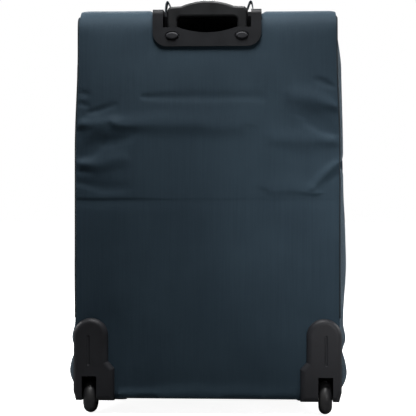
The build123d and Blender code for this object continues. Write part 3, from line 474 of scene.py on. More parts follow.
# ---- Cloth ----
CLOTH = {
    "quality": 5, "mass": 0.15, "tension_stiffness": 25, "compression_stiffness": 25, "shear_stiffness": 12,
    "bending_stiffness": 0.6, "vertex_group_mass": "pin", "pin_stiffness": 1, "vertex_group_shrink": "slack",
    "shrink_min": 0, "shrink_max": -0.045, "use_pressure": True,
}


def simulate(piece, pinned, slack, pressure, limit, inward, frames=18):
    """Lets the cloth wrinkle. slack is how much longer than its frame it is at each point, as a share of the
    full amount. The movement is then held to limit outwards and to inward the other way."""
    rest, out = vertex_values(piece.data, "co"), vertex_values(piece.data, "normal")
    for name, weights in (("pin", pinned), ("slack", slack)):
        group = piece.vertex_groups.new(name=name)
        for n, weight in enumerate(weights):
            if weight > 0:
                group.add([n], float(weight), "REPLACE")
    modifier = piece.modifiers.new("cloth", "CLOTH")
    for key, value in CLOTH.items():
        setattr(modifier.settings, key, value)
    modifier.settings.uniform_pressure_force = pressure
    modifier.settings.effector_weights.gravity = 0
    modifier.collision_settings.use_collision = False
    modifier.point_cache.frame_end = frames
    for number in range(1, frames + 1):
        bpy.context.scene.frame_set(number)
    evaluated = piece.evaluated_get(bpy.context.evaluated_depsgraph_get())
    moved = vertex_values(evaluated.data, "co") - rest
    piece.modifiers.clear()
    piece.vertex_groups.clear()
    bpy.context.scene.frame_set(1)
    outward = np.sum(moved * out, 1)
    along = moved - outward[:, None] * out
    outward = np.where(outward > 0, limit * np.tanh(outward / limit), inward * np.tanh(outward / inward))
    length = np.linalg.norm(along, axis=1, keepdims=True) + 1e-9
    along = along / length * limit * np.tanh(length / limit) * 0.5
    set_coordinates(piece, rest + outward[:, None] * out + along)


# ---- Folds and bulges ----
# Folds of the rear fabric: start and end as (x, z), height, then how far each spreads above and below its
# line. A height above 0 stands out, below 0 sinks in. Most start at a side seam, where they are narrow.
# FOLD_DEPTH scales them all, and none sinks further than DEEPEST_FOLD.
FOLD_DEPTH = 1.75
DEEPEST_FOLD = 0.0032
FOLDS = [
    ((0.243, 0.552), (0.175, 0.550), 0.0028, 0.014, 0.022),
    ((0.175, 0.550), (-0.060, 0.546), 0.0018, 0.024, 0.016),
    ((0.246, 0.484), (0.200, 0.508), -0.0034, 0.016, 0.009),
    ((0.200, 0.508), (0.150, 0.523), -0.0016, 0.014, 0.010),
    ((0.238, 0.473), (0.165, 0.482), 0.0020, 0.012, 0.014),
    ((0.246, 0.459), (0.228, 0.459), -0.0008, 0.005, 0.005),
    ((0.227, 0.573), (0.177, 0.588), -0.0013, 0.005, 0.006),
    ((0.246, 0.608), (0.230, 0.607), -0.0012, 0.005, 0.005),
    ((0.246, 0.588), (0.230, 0.586), -0.0012, 0.005, 0.005),
    ((0.246, 0.541), (0.222, 0.540), -0.0009, 0.006, 0.006),
    ((0.244, 0.436), (0.158, 0.424), -0.0012, 0.012, 0.008),
    ((-0.246, 0.531), (-0.190, 0.556), -0.0032, 0.018, 0.010),
    ((-0.242, 0.583), (-0.170, 0.600), 0.0026, 0.020, 0.016),
    ((-0.242, 0.515), (-0.130, 0.520), 0.0018, 0.018, 0.016),
    ((-0.246, 0.480), (-0.198, 0.431), 0.0028, 0.009, 0.006),
    ((-0.246, 0.458), (-0.225, 0.440), -0.0016, 0.006, 0.006),
    ((-0.205, 0.420), (-0.120, 0.426), 0.0013, 0.020, 0.008),
    ((-0.242, 0.620), (-0.215, 0.633), -0.0015, 0.006, 0.008),
    ((0.125, 0.600), (-0.106, 0.600), -0.0009, 0.010, 0.008),
    ((0.172, 0.036), (-0.172, 0.036), 0.0030, 0.015, 0.010),
]
# How far the side fabric swells out, as (middle height, reach up and down, swell at the right, at the left).
SWELLS = [
    (0.045, 0.014, 0.005, 0.004), (0.069, 0.028, 0.0245, 0.0175), (0.098, 0.016, 0.0085, 0.005),
    (0.138, 0.022, 0.0095, 0.0080), (0.275, 0.060, 0.0012, 0.005), (0.360, 0.060, 0.0, 0.003),
    (0.474, 0.010, -0.003, -0.006),
]
SIDE_SWELL = 0.0075


def fold_height(x, z):
    """Relief of the rear fabric's folds at each point."""
    total = np.zeros(len(x))
    for (x0, z0), (x1, z1), height, above, below in FOLDS:
        dx, dz = x1 - x0, z1 - z0
        along = np.clip(((x - x0) * dx + (z - z0) * dz) / (dx * dx + dz * dz), 0, 1)
        away = np.hypot(x - x0 - along * dx, z - z0 - along * dz)
        upper_side = (dx * (z - z0) - dz * (x - x0)) * np.sign(dx) > 0
        narrow_start = 0.45 + 0.55 * np.minimum(along / 0.4, 1)
        width = np.where(upper_side, above, below) * narrow_start
        total += FOLD_DEPTH * height * np.exp(-((away / width) ** 2)) * (1 - 0.45 * along ** 2)
    total = np.where(total < 0, -DEEPEST_FOLD * np.tanh(-total / DEEPEST_FOLD), total)
    return total * smooth_step(HALF - np.abs(x), 0.0, 0.008)


def crease_height(x, z):
    """The crease across the middle: crisp above, soft below, and deepest at the right."""
    width = np.where(z > CREASE_Z, 0.0036, 0.013)
    depth = 0.0003 + 0.0011 * smooth_step(x, 0.02, 0.22)
    return -depth * np.exp(-(((z - CREASE_Z) / width) ** 2))


def side_swell(x, y, z):
    """Swell of the side fabric between its rear seam and the zip. Low down it stays in front of the wheel
    housing."""
    by_height = SIDE_SWELL * smooth_step(z, 0.05, 0.20) * (1 - smooth_step(z, 0.66, 0.74))
    for middle, reach, right, left in SWELLS:
        by_height = by_height + np.where(x > 0, right, left) * bell(z, middle, reach)
    cheek_front = house_low.y + 0.016
    low_down = 1 - smooth_step(z, 0.10, 0.13)
    middle_y = 0.090 - 0.034 * low_down
    clear = 1 - low_down * smooth_step(y, cheek_front - 0.016, cheek_front)
    return by_height * bell(y, middle_y, 0.036) * smooth_step(-y, -REAR, -REAR + 0.03) * clear


# ---- Case ----
# Openings in the fabric for the bezel's cup, the wheel wells and the housings' lower corners.
CUP_HALF, CUP_FRONT, CUP_BOTTOM = 0.088, 0.106, bezel_high.z - 0.0525
WELL_IN, WELL_OUT, WELL_TOP = 0.2067, 0.2403, 0.0775
WELL_FRONT = house_low.y + 0.0015
CORNER_IN, CORNER_FRONT, CORNER_TOP = HALF - 0.045, 0.104, BOTTOM + 0.020


def case_keep(x, y, z):
    """False where the fabric is cut away."""
    in_cup = abs(x) < CUP_HALF and y > CUP_FRONT and z > CUP_BOTTOM
    in_well = WELL_IN < abs(x) < WELL_OUT and y > WELL_FRONT and z < WELL_TOP
    in_corner = abs(x) > CORNER_IN and y > CORNER_FRONT and z < CORNER_TOP
    return not (in_cup or in_well or in_corner)


def under_hard_parts(points):
    """True where the fabric is held flat below the bezel, the housings and the feet."""
    x, y, z = np.abs(points[:, 0]), points[:, 1], points[:, 2]
    bezel = (x < bezel_high.x + 0.004) & (y > bezel_low.y - 0.004) & (z > bezel_low.z - 0.004)
    housing = (x > house_low.x - 0.004) & (y > house_low.y - 0.004) & (z < house_high.z + 0.003)
    underside = z < BOTTOM + 0.002
    return bezel | housing & ((y > REAR - 0.004) | (z < 0.1)) | underside


def make_case_fabric():
    cuts = (CUP_HALF, WELL_IN, CORNER_IN, WELL_OUT)
    xs = spread(-HALF, HALF, 0.0075, *cuts, *[-x for x in cuts])
    ys = spread(ZIP_EDGE, REAR, 0.009, WELL_FRONT, CORNER_FRONT, CUP_FRONT)
    fine_low, fine_high = CREASE_Z - 0.012, CREASE_Z + 0.018
    zs = spread(BOTTOM, fine_low, 0.0085, CORNER_TOP, WELL_TOP)
    zs += spread(fine_low, fine_high, 0.003)[1:]
    zs += spread(fine_high, TOP, 0.0075, CUP_BOTTOM)[1:]
    cube, faces = box_skin(xs, ys, zs, case_keep)
    piece = make_object("case_fabric", case_point(cube), faces, "shell_fabric")
    x, y, z = cube.T
    rear = y > REAR - SAME
    seam = (np.abs(np.abs(x) - HALF) < SAME) & (rear | (z > TOP - SAME))
    pinned = seam | (y < ZIP_EDGE + 0.012) | under_hard_parts(cube)
    upper = smooth_step(z, 0.36, 0.46) * (1 - smooth_step(z, 0.62, 0.70))
    near_seam = smooth_step(np.abs(x), 0.04, 0.2)
    slack = np.where(rear, 0.15 + 0.85 * upper * (0.4 + 0.6 * near_seam), 0.55)
    simulate(piece, pinned.astype(float), slack, pressure=2.5, limit=0.0045, inward=0.0018)
    keep_sharp(piece, seam)
    add_subdivision(piece)
    apply_modifiers(piece)
    fold_case(piece)
    piece.data.set_sharp_from_angle(angle=math.radians(40))
    add_thickness(piece, SHELL_THICK)
    attach(piece, "case", "rear_panel", "top_panel", "side_panel_right", "side_panel_left", "bottom_panel")


def fold_case(piece):
    """Presses the folds and the crease into the rear, and swells the sides."""
    now, out = vertex_values(piece.data, "co"), vertex_values(piece.data, "normal")
    x, y, z = now.T
    square_x = x * HALF / (HALF - NARROWING * smooth_step(z, NARROW_FROM, NARROW_TO))
    bend_x, bend_z = 0.005 * noise_at(now, 22, 1.0), 0.005 * noise_at(now, 22, 5.0)
    relief = fold_height(square_x + bend_x, z + bend_z) + crease_height(x, z + 0.15 * bend_z)
    on_rear = smooth_step(out[:, 1], 0.6, 0.9) * np.where(under_hard_parts(now), 0, 1)
    on_side = smooth_step(np.abs(out[:, 0]), 0.5, 0.9)
    now[:, 1] += relief * on_rear
    now[:, 0] += np.sign(x) * side_swell(x, y, z) * on_side
    set_coordinates(piece, now)


def make_side_piping():
    """Corded seam up each rear edge, over the roll and forward along the top corner."""
    radius = 0.0015
    start = house_high.z + 0.001
    for side, name in SIDES:
        upper = [(side * HALF, REAR, z) for z in spread(start, TOP, 0.008)]
        upper += [(side * HALF, y, TOP) for y in spread(REAR, ZIP_EDGE + 0.003, 0.008)[1:]]
        lower = [(side * HALF, y, BOTTOM) for y in spread(ZIP_EDGE + 0.003, house_low.y - 0.002, 0.008)]
        for part, line in (("upper", upper), ("lower", lower)):
            line = case_point(line)
            outward = line - [0, 0, MID_Z]
            outward[:, 2] = np.sign(outward[:, 2]) * smooth_step(np.abs(outward[:, 2]), 0.3, 0.366)
            outward[:, 1] = smooth_step(line[:, 1], REAR - 0.03, REAR)
            outward[:, 0] = side * 0.8
            outward /= np.linalg.norm(outward, axis=1, keepdims=True)
            path = line + 0.6 * radius * outward
            piping = cord(f"side_piping_{part}_{name}", path, radius, "piping")
            attach(piping, "case", "side_piping" if (part, name) == ("upper", "right") else None)


def outline(inset, radius, first, last, step=0.008):
    """Points round the body as (x, z, outward x, outward z). first and last are angles about its corners, in
    degrees."""
    corners, points = [], []
    for quarter in range(math.floor(first / 90), math.ceil(last / 90)):
        low, high = max(first, 90 * quarter), min(last, 90 * quarter + 90)
        middle = math.radians(90 * quarter + 45)
        x = math.copysign(HALF - radius, math.cos(middle))
        z = MID_Z + math.copysign(HEIGHT / 2 - radius, math.sin(middle))
        corners.append([])
        for angle in spread(low, high, 7.5):
            out_x, out_z = math.cos(math.radians(angle)), math.sin(math.radians(angle))
            corners[-1].append((x + (radius - inset) * out_x, z + (radius - inset) * out_z, out_x, out_z))
    for corner, following in zip(corners, corners[1:] + [corners[0] if last - first >= 360 else None]):
        points += corner
        if following:
            start, end = np.array(corner[-1]), np.array(following[0])
            count = max(2, round(float(np.hypot(*(end - start)[:2])) / step))
            points += [tuple(start + (end - start) * n / count) for n in range(1, count)]
    return points


def sweep(name, line, section, slot, closed=False):
    """Strip that follows an outline. The section is a loop of (outward, y) points."""
    points, faces = [], []
    sides, count = len(section), len(line)
    for x, z, out_x, out_z in line:
        points += [(x + out * out_x, y, z + out * out_z) for out, y in section]
    for n in range(count if closed else count - 1):
        a, b = n * sides, ((n + 1) % count) * sides
        faces += [(a + k, b + k, b + (k + 1) % sides, a + (k + 1) % sides) for k in range(sides)]
    if not closed:
        faces += [tuple(range(sides)), tuple((count - 1) * sides + k for k in reversed(range(sides)))]
    return make_object(name, points, faces, slot)


# The zip runs round the body between these angles, and the uncut hinge takes up the rest.
ZIP_RUN = (-133, 133)
TOOTH_PITCH = 0.0026
TOOTH_LONG, TOOTH_WIDE, TOOTH_HIGH = 0.0014, 0.0026, 0.0014
TOOTH_OUT = 0.0006
BOX_CORNERS = [(u, v, w) for w in (-1, 1) for u, v in SQUARE]
BOX_FACES = [(0, 3, 2, 1), (4, 5, 6, 7), (0, 1, 5, 4), (1, 2, 6, 5), (2, 3, 7, 6), (3, 0, 4, 7)]


def tooth_row(name, places, along, across, out):
    """Zip teeth: one small tapered block at each place."""
    points, faces = [], []
    cross = Vector(across)
    for place, direction, outward in zip(places, along, out):
        start = len(points)
        for u, v, w in BOX_CORNERS:
            taper = 0.7 if w > 0 else 1
            points.append(
                Vector(place) + direction * (u * taper * TOOTH_LONG / 2)
                + cross * (v * taper * TOOTH_WIDE / 2) + outward * (w * TOOTH_HIGH / 2)
            )
        faces += [tuple(start + k for k in face) for face in BOX_FACES]
    return make_object(name, points, faces, "zip_metal", smooth=False)


def make_main_zip_half(name, body, y_edge, y_tape, node):
    """One half of the main zip: woven tape with a row of teeth along its free edge."""
    line = outline(TOOTH_OUT, ZIP_CORNER, *ZIP_RUN)
    low, high = sorted((y_edge, y_tape))
    section = [(0, low), (0.0004, (low + high) / 2), (0, high), (-0.0012, high), (-0.0012, low)]
    tape = sweep(f"{name}_tape", line, section, "zip_tape")
    attach(tape, body, node)
    inward = math.copysign(1, y_tape - y_edge)
    middle = y_edge + inward * TOOTH_WIDE * 0.35
    places, along, out = [], [], []
    travelled = 0.0 if inward > 0 else TOOTH_PITCH / 2
    for (x0, z0, ox, oz), (x1, z1, _, _) in zip(line, line[1:]):
        length = math.hypot(x1 - x0, z1 - z0)
        while travelled < length:
            share = travelled / length
            x, z = x0 + (x1 - x0) * share, z0 + (z1 - z0) * share
            places.append((x + TOOTH_OUT * ox, middle, z + TOOTH_OUT * oz))
            along.append(Vector((x1 - x0, 0, z1 - z0)).normalized())
            out.append(Vector((ox, 0, oz)))
            travelled += TOOTH_PITCH
        travelled -= length
    teeth = tooth_row(f"{name}_teeth", places, along, (0, 1, 0), out)
    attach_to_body(teeth, body)


def make_hinge():
    """Uncut fabric at the left, from the case to the lid, with a soft fold in the middle."""
    line = outline(0, ZIP_CORNER, 135, 225)
    lap = 0.004
    rows = spread(LID_EDGE - lap, ZIP_EDGE + lap, 0.0025)
    fold = [-0.0016 * math.cos(math.pi * (y - ZIP_Y) / (ZIP_EDGE + lap - ZIP_Y) / 2) for y in rows]
    outside = [(0.0004 + depth, y) for depth, y in zip(fold, rows)]
    inside = [(depth - 0.0012, y) for depth, y in zip(fold, rows)]
    hinge = sweep("hinge_fabric", line, inside + outside[::-1], "shell_fabric")
    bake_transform(hinge)


# ---- Lid and pockets ----
def make_lid_fabric():
    xs = spread(-HALF, HALF, 0.0085)
    ys = spread(-LID_EDGE, -LID_FACE, 0.008)
    zs = spread(BOTTOM, TOP, 0.0085)
    cube, faces = box_skin(xs, [-y for y in ys], zs)
    square_x, y, square_z = cube.T
    x, z = round_corners(square_x, square_z, ZIP_CORNER)
    piece = make_object("lid_fabric", np.stack([x, y, z], 1), faces, "shell_fabric")
    at_side = np.abs(np.abs(square_x) - HALF) < SAME
    at_end = np.abs(np.abs(square_z - MID_Z) - HEIGHT / 2) < SAME
    edge, face = at_side | at_end, y < LID_FACE + SAME
    behind_pocket = np.abs(x) < 0.21
    pinned = (y > LID_EDGE - SAME) | face & (edge | behind_pocket)
    slack = np.full(len(cube), 0.6)
    simulate(piece, pinned.astype(float), slack, pressure=2.0, limit=0.003, inward=0.0015, frames=12)
    keep_sharp(piece, edge & face)
    add_subdivision(piece)
    add_thickness(piece, SHELL_THICK)
    attach(piece, "lid", "lid_panel")


def make_lid_piping():
    line = outline(0, ZIP_CORNER, 0, 360)
    y, radius = LID_FACE - 0.0009, 0.0023
    turns = [2 * math.pi * k / 10 for k in range(10)]
    section = [(0.0009 + radius * math.cos(t), y - radius * math.sin(t)) for t in turns]
    piping = sweep("lid_piping_cord", line, section, "piping", closed=True)
    attach(piping, "lid", "lid_piping")


def pocket_inset(x, z, half_x, half_z):
    """Distance in from a pocket's rounded outline. x and z are from its middle."""
    dx, dz = np.abs(x) - (half_x - POCKET_CORNER), np.abs(z) - (half_z - POCKET_CORNER)
    outside = np.hypot(np.maximum(dx, 0), np.maximum(dz, 0))
    inside = np.minimum(np.maximum(dx, dz), 0)
    return POCKET_CORNER - (outside + inside)


# Pocket zips: distance below the pocket's top, half length, half width of the slot, and how far the slot
# stops short of the tape's end.
ZIP_DROP, ZIP_HALF, ZIP_SLOT, SLOT_SHORT = 0.034, 0.190, 0.0045, 0.004
SLOT_END = ZIP_HALF - SLOT_SHORT
POCKET_CORNER = 0.030
WELT, WELT_REACH = 0.0013, 0.012


def make_pocket(node):
    """Puffed pocket with a slot for its zip, and a welt of doubled fabric above and below the slot."""
    low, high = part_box(node)
    face, half = low.y, high.x
    zip_z = high.z - ZIP_DROP
    xs = spread(-half, half, 0.007, -SLOT_END, SLOT_END)
    zs = spread(low.z, high.z, 0.007, zip_z - ZIP_SLOT, zip_z + ZIP_SLOT)
    u, v = np.array([(x, z) for x in xs for z in zs]).T
    middle, height = (low.z + high.z) / 2, high.z - low.z
    x, z = round_corners(u, v, POCKET_CORNER, half, height / 2, middle)
    inset = pocket_inset(x, z - middle, half, height / 2)
    base = LID_FACE - 0.0004
    depth = base - face
    rise = 1 - (1 - np.clip(inset / (1.3 * depth), 0, 1)) ** 2.4
    off_slot = np.clip(np.maximum(np.abs(z - zip_z) - ZIP_SLOT, np.abs(x) - SLOT_END) / WELT_REACH, 0, 1)
    y = base - depth * rise - WELT * (1 - off_slot)
    below = z < zip_z - ZIP_SLOT - 0.004
    sag = np.where(below, smooth_step(inset, 0.01, 0.08), 0)
    spots = np.stack([x, y, z], 1)
    y += sag * 0.0016 * noise_at(spots * np.array([1, 1, 0.45]), 20, 3.0)
    ripple = smooth_step(inset, 0.0, 0.03) * (1 - smooth_step(inset, 0.03, 0.09)) * (off_slot > 0.99)
    y += 0.0009 * ripple * noise_at(spots, 55, 7.0)
    across = len(zs)
    faces = []
    for i in range(len(xs) - 1):
        for k in range(across - 1):
            mid_x, mid_z = (xs[i] + xs[i + 1]) / 2, (zs[k] + zs[k + 1]) / 2
            if abs(mid_z - zip_z) < ZIP_SLOT and abs(mid_x) < SLOT_END:
                continue
            a = i * across + k
            faces.append((a, a + across, a + across + 1, a + 1))
    points = np.stack([x, y, z], 1)
    piece = make_object(f"{node}_fabric", points, faces, "shell_fabric")
    add_subdivision(piece)
    add_thickness(piece, POCKET_THICK)
    attach(piece, "lid", node)
    return face, zip_z


def make_pocket_zip(name, face, zip_z, replaced):
    """Two tapes behind the slot, each with its row of teeth."""
    for side, part in ((1, "upper"), (-1, "lower")):
        inner, outer = zip_z + side * 0.0006, zip_z + side * 0.0085
        path = [(x, face + 0.0008, (inner + outer) / 2) for x in spread(-ZIP_HALF, ZIP_HALF, 0.02)]
        tape = strap(f"{name}_tape_{part}", path, (0, 0, 1), abs(outer - inner), 0.001, "zip_tape")
        attach(tape, "lid", replaced if side == 1 else None)
        shift = TOOTH_PITCH / 2 if side > 0 else 0
        run = spread(-ZIP_HALF + 0.006, ZIP_HALF - 0.008, TOOTH_PITCH)
        places = [(x + shift, face, inner + side * TOOTH_OUT) for x in run]
        along = [Vector((1, 0, 0))] * len(places)
        out = [Vector((0, -1, 0))] * len(places)
        teeth = tooth_row(f"{name}_teeth_{part}", places, along, (0, 0, 1), out)
        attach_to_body(teeth, "lid")


# ---- Linings ----
# The lining steps forward round the cup and round the wheel wells.
LINING_CUP_HALF, LINING_CUP_Z, LINING_CUP_Y = 0.094, 0.707, 0.1035
LINING_WELL_X, LINING_WELL_Z, LINING_WELL_Y = 0.200, 0.083, 0.0815


def round_lining(cube, inset):
    """Rounds a lining's corners, inset from the body's."""
    return round_corners(cube[:, 0], cube[:, 2], ZIP_CORNER - inset, HALF - inset, HEIGHT / 2 - inset)


def finish_lining(name, x, y, z, faces, body):
    faces = [tuple(reversed(f)) for f in faces]
    piece = make_object(f"{name}_cloth", np.stack([x, y, z], 1), faces, "lining")
    add_subdivision(piece)
    add_thickness(piece, LINING_THICK)
    attach(piece, body, name)


def make_case_lining():
    low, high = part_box("case_lining")
    inset = HALF - high.x
    xs = spread(low.x, high.x, 0.012, -0.2465 + inset, -0.092, 0.092)
    ys = spread(low.y, high.y, 0.012, 0.078, 0.102)
    zs = spread(low.z, high.z, 0.012, 0.082, 0.708)
    cube, faces = box_skin(xs, ys, zs)
    x, z = round_lining(cube, inset)
    y = cube[:, 1]
    over_cup = (np.abs(x) < LINING_CUP_HALF) & (z > LINING_CUP_Z)
    over_well = (np.abs(x) > LINING_WELL_X) & (z < LINING_WELL_Z)
    y = np.where(over_cup, np.minimum(y, LINING_CUP_Y), y)
    y = np.where(over_well, np.minimum(y, LINING_WELL_Y), y)
    spots = np.stack([x, y, z], 1)
    ripple = np.abs(0.0008 * noise_at(spots, 26, 2.0) + 0.0004 * noise_at(spots, 70, 4.0))
    closed_end = cube[:, 1] > high.y - SAME
    y = np.where(closed_end, y - ripple, y)
    x = np.where(closed_end, x, x - np.sign(x) * ripple)
    finish_lining("case_lining", x, y, z, faces, "case")


def make_lid_lining():
    low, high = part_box("lid_lining")
    xs = spread(low.x, high.x, 0.012)
    ys = [-y for y in spread(-high.y, -low.y, 0.012)]
    zs = spread(low.z, high.z, 0.012)
    cube, faces = box_skin(xs, ys, zs)
    x, z = round_lining(cube, HALF - high.x)
    y = cube[:, 1]
    ripple = 0.0009 * np.abs(noise_at(np.stack([x, y, z], 1), 26, 2.0))
    y = np.where(y < low.y + SAME, y + ripple, y)
    finish_lining("lid_lining", x, y, z, faces, "lid")


def make_packing_straps():
    low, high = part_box("packing_straps")
    middle_z, y = (low.z + high.z) / 2, (low.y + high.y) / 2
    for side, name in SIDES:
        path = []
        for x in spread(0.004, high.x, 0.012):
            slack = 0.0015 * math.sin(x / high.x * math.pi) ** 2
            path.append((side * x, y - slack, middle_z))
        band = strap(f"packing_strap_{name}", path, (0, 0, 1), high.z - low.z, 0.0016, "webbing")
        if side == 1:
            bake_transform(band)
        else:
            attach(band, "case", "packing_straps")


# ---- Carry handles ----
def smooth_path(points, steps=5):
    """Catmull-Rom curve through the points."""
    spots = [Vector(p) for p in points]
    spots = [2 * spots[0] - spots[1], *spots, 2 * spots[-1] - spots[-2]]
    path = []
    for a, b, c, d in zip(spots, spots[1:], spots[2:], spots[3:]):
        for n in range(steps):
            t = n / steps
            square, cube = 2 * a - 5 * b + 4 * c - d, 3 * b - a - 3 * c + d
            path.append(0.5 * (2 * b + (c - a) * t + square * t * t + cube * t ** 3))
    return path + [spots[-2]]


def cushion(name, middle, size, power, rings=28, sides=48):
    """Padded, rounded block of shell fabric. power 1 is an ellipsoid, towards 0 a box."""
    def curve(value):
        return math.copysign(abs(value) ** power, value)

    points, faces = [], []
    for r in range(rings + 1):
        up = -math.pi / 2 + math.pi * r / rings
        for s in range(sides):
            turn = 2 * math.pi * s / sides
            points.append((
                middle[0] + size[0] / 2 * curve(math.cos(up)) * curve(math.cos(turn)),
                middle[1] + size[1] / 2 * curve(math.cos(up)) * curve(math.sin(turn)),
                middle[2] + size[2] / 2 * curve(math.sin(up)),
            ))
    for r in range(rings):
        for s in range(sides):
            a, b = r * sides + s, r * sides + (s + 1) % sides
            faces.append((a, b, b + sides, a + sides))
    piece = make_object(name, points, faces, "shell_fabric")
    weld = bmesh.new()
    weld.from_mesh(piece.data)
    bmesh.ops.remove_doubles(weld, verts=weld.verts, dist=1e-5)
    weld.to_mesh(piece.data)
    weld.free()
    return piece


STITCH, STITCH_GAP, STITCH_THICK = 0.0026, 0.0018, 0.0007


def stitches(name, lines):
    """Rows of thread stitches, each a small rounded dash, along straight lines."""
    points, faces = [], []
    for start, end, out in lines:
        start, end, out = Vector(start), Vector(end), Vector(out)
        run = end - start
        direction = run.normalized()
        cross = direction.cross(out)
        for n in range(int(run.length / (STITCH + STITCH_GAP))):
            first = start + direction * (n * (STITCH + STITCH_GAP))
            base = len(points)
            for share, swell in ((0, 0.35), (0.5, 1), (1, 0.35)):
                here = first + direction * STITCH * share
                edge, crest = cross * STITCH_THICK / 2, out * STITCH_THICK * 0.45 * swell
                points += [here + edge, here + crest, here - edge]
            faces += [(base, base + 3, base + 4, base + 1), (base + 1, base + 4, base + 5, base + 2)]
            faces += [(base + 3, base + 6, base + 7, base + 4), (base + 4, base + 7, base + 8, base + 5)]
    return make_object(name, points, faces, "webbing", MATERIALS["zip_tape"])


def make_patch(name, middle, size, out, node=None):
    """Sewn patch over the end of a handle's webbing, facing out."""
    attach(cushion(name, middle, size, power=0.2), "case", node)
    out = Vector(out)
    wide = Vector((0, 1, 0))
    tall = out.cross(wide)
    margin = 0.003
    half_wide = size[1] / 2 - margin
    half_tall = max(abs(Vector(size).dot(tall)) / 2 - margin, margin)
    top = Vector(middle) + out * (abs(Vector(size).dot(out)) / 2 + 0.0001)
    corners = [top + wide * a * half_wide + tall * b * half_tall for a, b in SQUARE]
    lines = [(corners[n], corners[(n + 1) % 4], out) for n in range(4)]
    lines += [(corners[0], corners[2], out), (corners[1], corners[3], out)]
    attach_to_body(stitches(f"{name}_stitches", lines), "case")


def make_top_handle():
    """Padded grip on two webbing loops, each sewn to the top under a patch."""
    low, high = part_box("top_handle")
    y = (low.y + high.y) / 2
    top = high.z
    pad_z, pad_half = TOP + 0.011, 0.0700
    pad = cushion("top_handle_pad", (0, y, pad_z), (2 * pad_half, high.y - low.y, 0.012), power=0.28)
    attach(pad, "carry_handle_top", "top_handle")
    for side, name in SIDES:
        bends = [
            (0.102, TOP + 0.0018), (0.092, TOP + 0.0022), (0.0872, TOP + 0.008), (0.0856, TOP + 0.020),
            (0.0842, top - 0.006), (0.0815, top - 0.0016), (0.0786, top - 0.005), (0.0762, top - 0.012),
            (0.0722, pad_z + 0.006), (0.065, pad_z + 0.001), (0.050, pad_z),
        ]
        path = smooth_path([(side * x, y, z) for x, z in bends])
        loop = strap(f"top_handle_loop_{name}", path, (0, 1, 0), 0.030, 0.0025, "webbing")
        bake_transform(loop)
        middle = (side * 0.0965, y, TOP + 0.0032)
        node = "handle_anchors" if side == 1 else None
        make_patch(f"top_handle_patch_{name}", middle, (0.022, 0.036, 0.0022), (0, 0, 1), node)
    end, height = pad_half - 0.008, pad_z + 0.0058
    lines = [((-end, y + s * 0.012, height), (end, y + s * 0.012, height), (0, 0, 1)) for s in (-1, 1)]
    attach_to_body(stitches("top_handle_stitches", lines), "carry_handle_top")


def make_side_handles():
    """Padded grip on each side, with webbing at both ends that runs under a sewn patch."""
    for side, name in SIDES:
        low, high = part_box(f"side_handle_{name}")
        y, z = (low.y + high.y) / 2, (low.z + high.z) / 2
        out = max(abs(low.x), abs(high.x))
        body = f"carry_handle_{name}"
        middle = (side * (out - 0.0045), y, z)
        pad = cushion(f"side_handle_pad_{name}", middle, (0.009, high.y - low.y, 0.120), power=0.3)
        attach(pad, body, f"side_handle_{name}")
        bends = [
            (HALF + 0.0016, 0.103), (HALF + 0.0018, 0.092), (HALF + 0.003, 0.080), (out - 0.0065, 0.064),
            (out - 0.005, 0.050),
        ]
        for end, part in ((1, "top"), (-1, "bottom")):
            path = smooth_path([(side * x, y, z + end * up) for x, up in bends])
            web = strap(f"side_handle_webbing_{name}_{part}", path, (0, 1, 0), 0.022, 0.0018, "webbing")
            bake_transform(web)
            middle = (side * (HALF + 0.0022), y, z + end * 0.100)
            make_patch(f"side_handle_patch_{name}_{part}", middle, (0.0026, 0.030, 0.026), (side, 0, 0))


# ---- Hard parts ----
HARD_PARTS = {
    "black_plastic": [
        "bezel", "bezel_caps", "tube_collars", "trolley_foot", "wheel_housing_right", "wheel_housing_left",
        "front_feet", "pin_blocks", "packing_buckle_socket", "packing_buckle_plug", "hub_right", "hub_left",
    ],
    "grip_plastic": ["grip_rear_shell", "grip_front_shell"],
    "button_plastic": ["release_button"],
    "board": ["back_board", "base_tray"],
    "tube_aluminium": ["outer_tubes", "inner_tubes"],
    "steel": [
        "wire_hoop", "lock_pin_right", "lock_pin_left", "grip_screws", "push_rods", "button_spring",
        "bearings_right", "bearings_left", "wheel_axles", "axle_washers", "case_screws",
    ],
    "zip_metal": [
        "main_slider_upper", "main_slider_lower", "main_pull_upper", "main_pull_lower", "upper_pocket_slider",
        "upper_pocket_pull", "lower_pocket_slider", "lower_pocket_pull",
    ],
    "tyre": ["tyre_right", "tyre_left"],
}


def finish_hard_parts():
    for slot, nodes in HARD_PARTS.items():
        for node in nodes:
            set_material(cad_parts[node], slot, BEZEL_PLASTIC if node == "bezel" else None)


# ---- Studio ----
AMBIENT = 0.05
FLOOR_REACH = 30


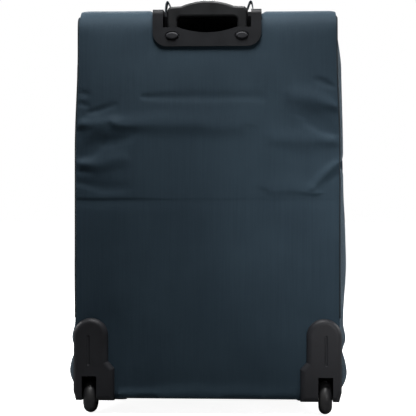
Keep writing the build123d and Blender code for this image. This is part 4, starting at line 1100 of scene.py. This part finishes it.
def make_studio():
    """White room: a pale floor, a soft key light high over the rear, and fills at the sides and the front.
    The camera sees the room at full brightness, and the case gets only a little of it."""
    n = Nodes("studio_floor")
    seen = n.add("LightPath").outputs["Is Camera Ray"]
    mottle = n.remap(n.noise(9.0), 0.3, 0.7, 0.97, 1.0)
    pale = n.mix(seen, (0.18, 0.18, 0.18), (0.8, 0.8, 0.8))
    away = n.add("VectorMath", {"Vector": n.place}, operation="LENGTH").outputs["Value"]
    glow = n.times(n.remap(away, 0.3, 1.6, 0.95, 1.0), n.times(seen, mottle))
    n.surface(Base_Color=pale, Roughness=0.9, Emission_Color=(1, 1, 1), Emission_Strength=glow)
    corners = [(x * FLOOR_REACH, y * FLOOR_REACH, 0) for x, y in SQUARE]
    make_object("studio_floor", corners, [(0, 1, 2, 3)], "studio", n.material)
    world = bpy.data.worlds.new("studio_air")
    world.use_nodes = True
    tree = world.node_tree
    strength = tree.nodes.new("ShaderNodeMath")
    strength.operation = "MULTIPLY_ADD"
    tree.links.new(tree.nodes.new("ShaderNodeLightPath").outputs["Is Camera Ray"], strength.inputs[0])
    strength.inputs[1].default_value = 1.0 - AMBIENT
    strength.inputs[2].default_value = AMBIENT
    tree.links.new(strength.outputs[0], tree.nodes["Background"].inputs["Strength"])
    tree.nodes["Background"].inputs["Color"].default_value = (1, 1, 1, 1)
    bpy.context.scene.world = world
    bpy.context.scene.view_settings.view_transform = "Standard"
    add_light("key", (0, 0.55, 1.72), (0, 0.15, 0.37), 27.0, 0.60)
    add_light("left_fill", (-0.75, 1.6, 0.5), (-0.32, 0.15, 0.36), 0.50, 0.3, spread=30)
    add_light("right_side", (2.3, -0.5, 1.5), (0, 0, 0.4), 40, 1.0)
    add_light("left_side", (-2.3, -0.5, 1.4), (0, 0, 0.4), 40, 1.0)
    add_light("front_fill", (0.5, -2.2, 2.0), (0, 0, 0.4), 60, 1.2)


def aim(item, place, target):
    """Stands a light or a camera at a place and turns it to its target."""
    item.location = place
    item.rotation_euler = (Vector(target) - Vector(place)).to_track_quat("-Z", "Y").to_euler()


def add_light(name, place, target, power, size, spread=180):
    data = bpy.data.lights.new(name, "AREA")
    data.energy = power
    data.shape = "DISK"
    data.size = size
    data.spread = math.radians(spread)
    light = add_object(name, data)
    aim(light, place, target)


def add_camera():
    """Level with the middle of the case, a little to the left of its rear."""
    data = bpy.data.cameras.new("camera")
    data.lens = 105.3
    data.sensor_width = 36
    camera = add_object("camera", data)
    aim(camera, (-0.12, REAR + 2.3, 0.391), (-0.0019, REAR, 0.391))
    bpy.context.scene.camera = camera


make_case_fabric()
make_side_piping()
make_main_zip_half("case_zip_half", "case", ZIP_Y + 0.0004, ZIP_EDGE + 0.003, "case_zip")
make_main_zip_half("lid_zip_half", "lid", ZIP_Y - 0.0004, LID_EDGE - 0.003, "lid_zip")
make_hinge()
make_lid_fabric()
make_lid_piping()
make_pocket_zip("upper_pocket_zip", *make_pocket("upper_pocket"), "pocket_zips")
make_pocket_zip("lower_pocket_zip", *make_pocket("lower_pocket"), None)
make_case_lining()
make_lid_lining()
make_packing_straps()
make_top_handle()
make_side_handles()
finish_hard_parts()
make_studio()
add_camera()
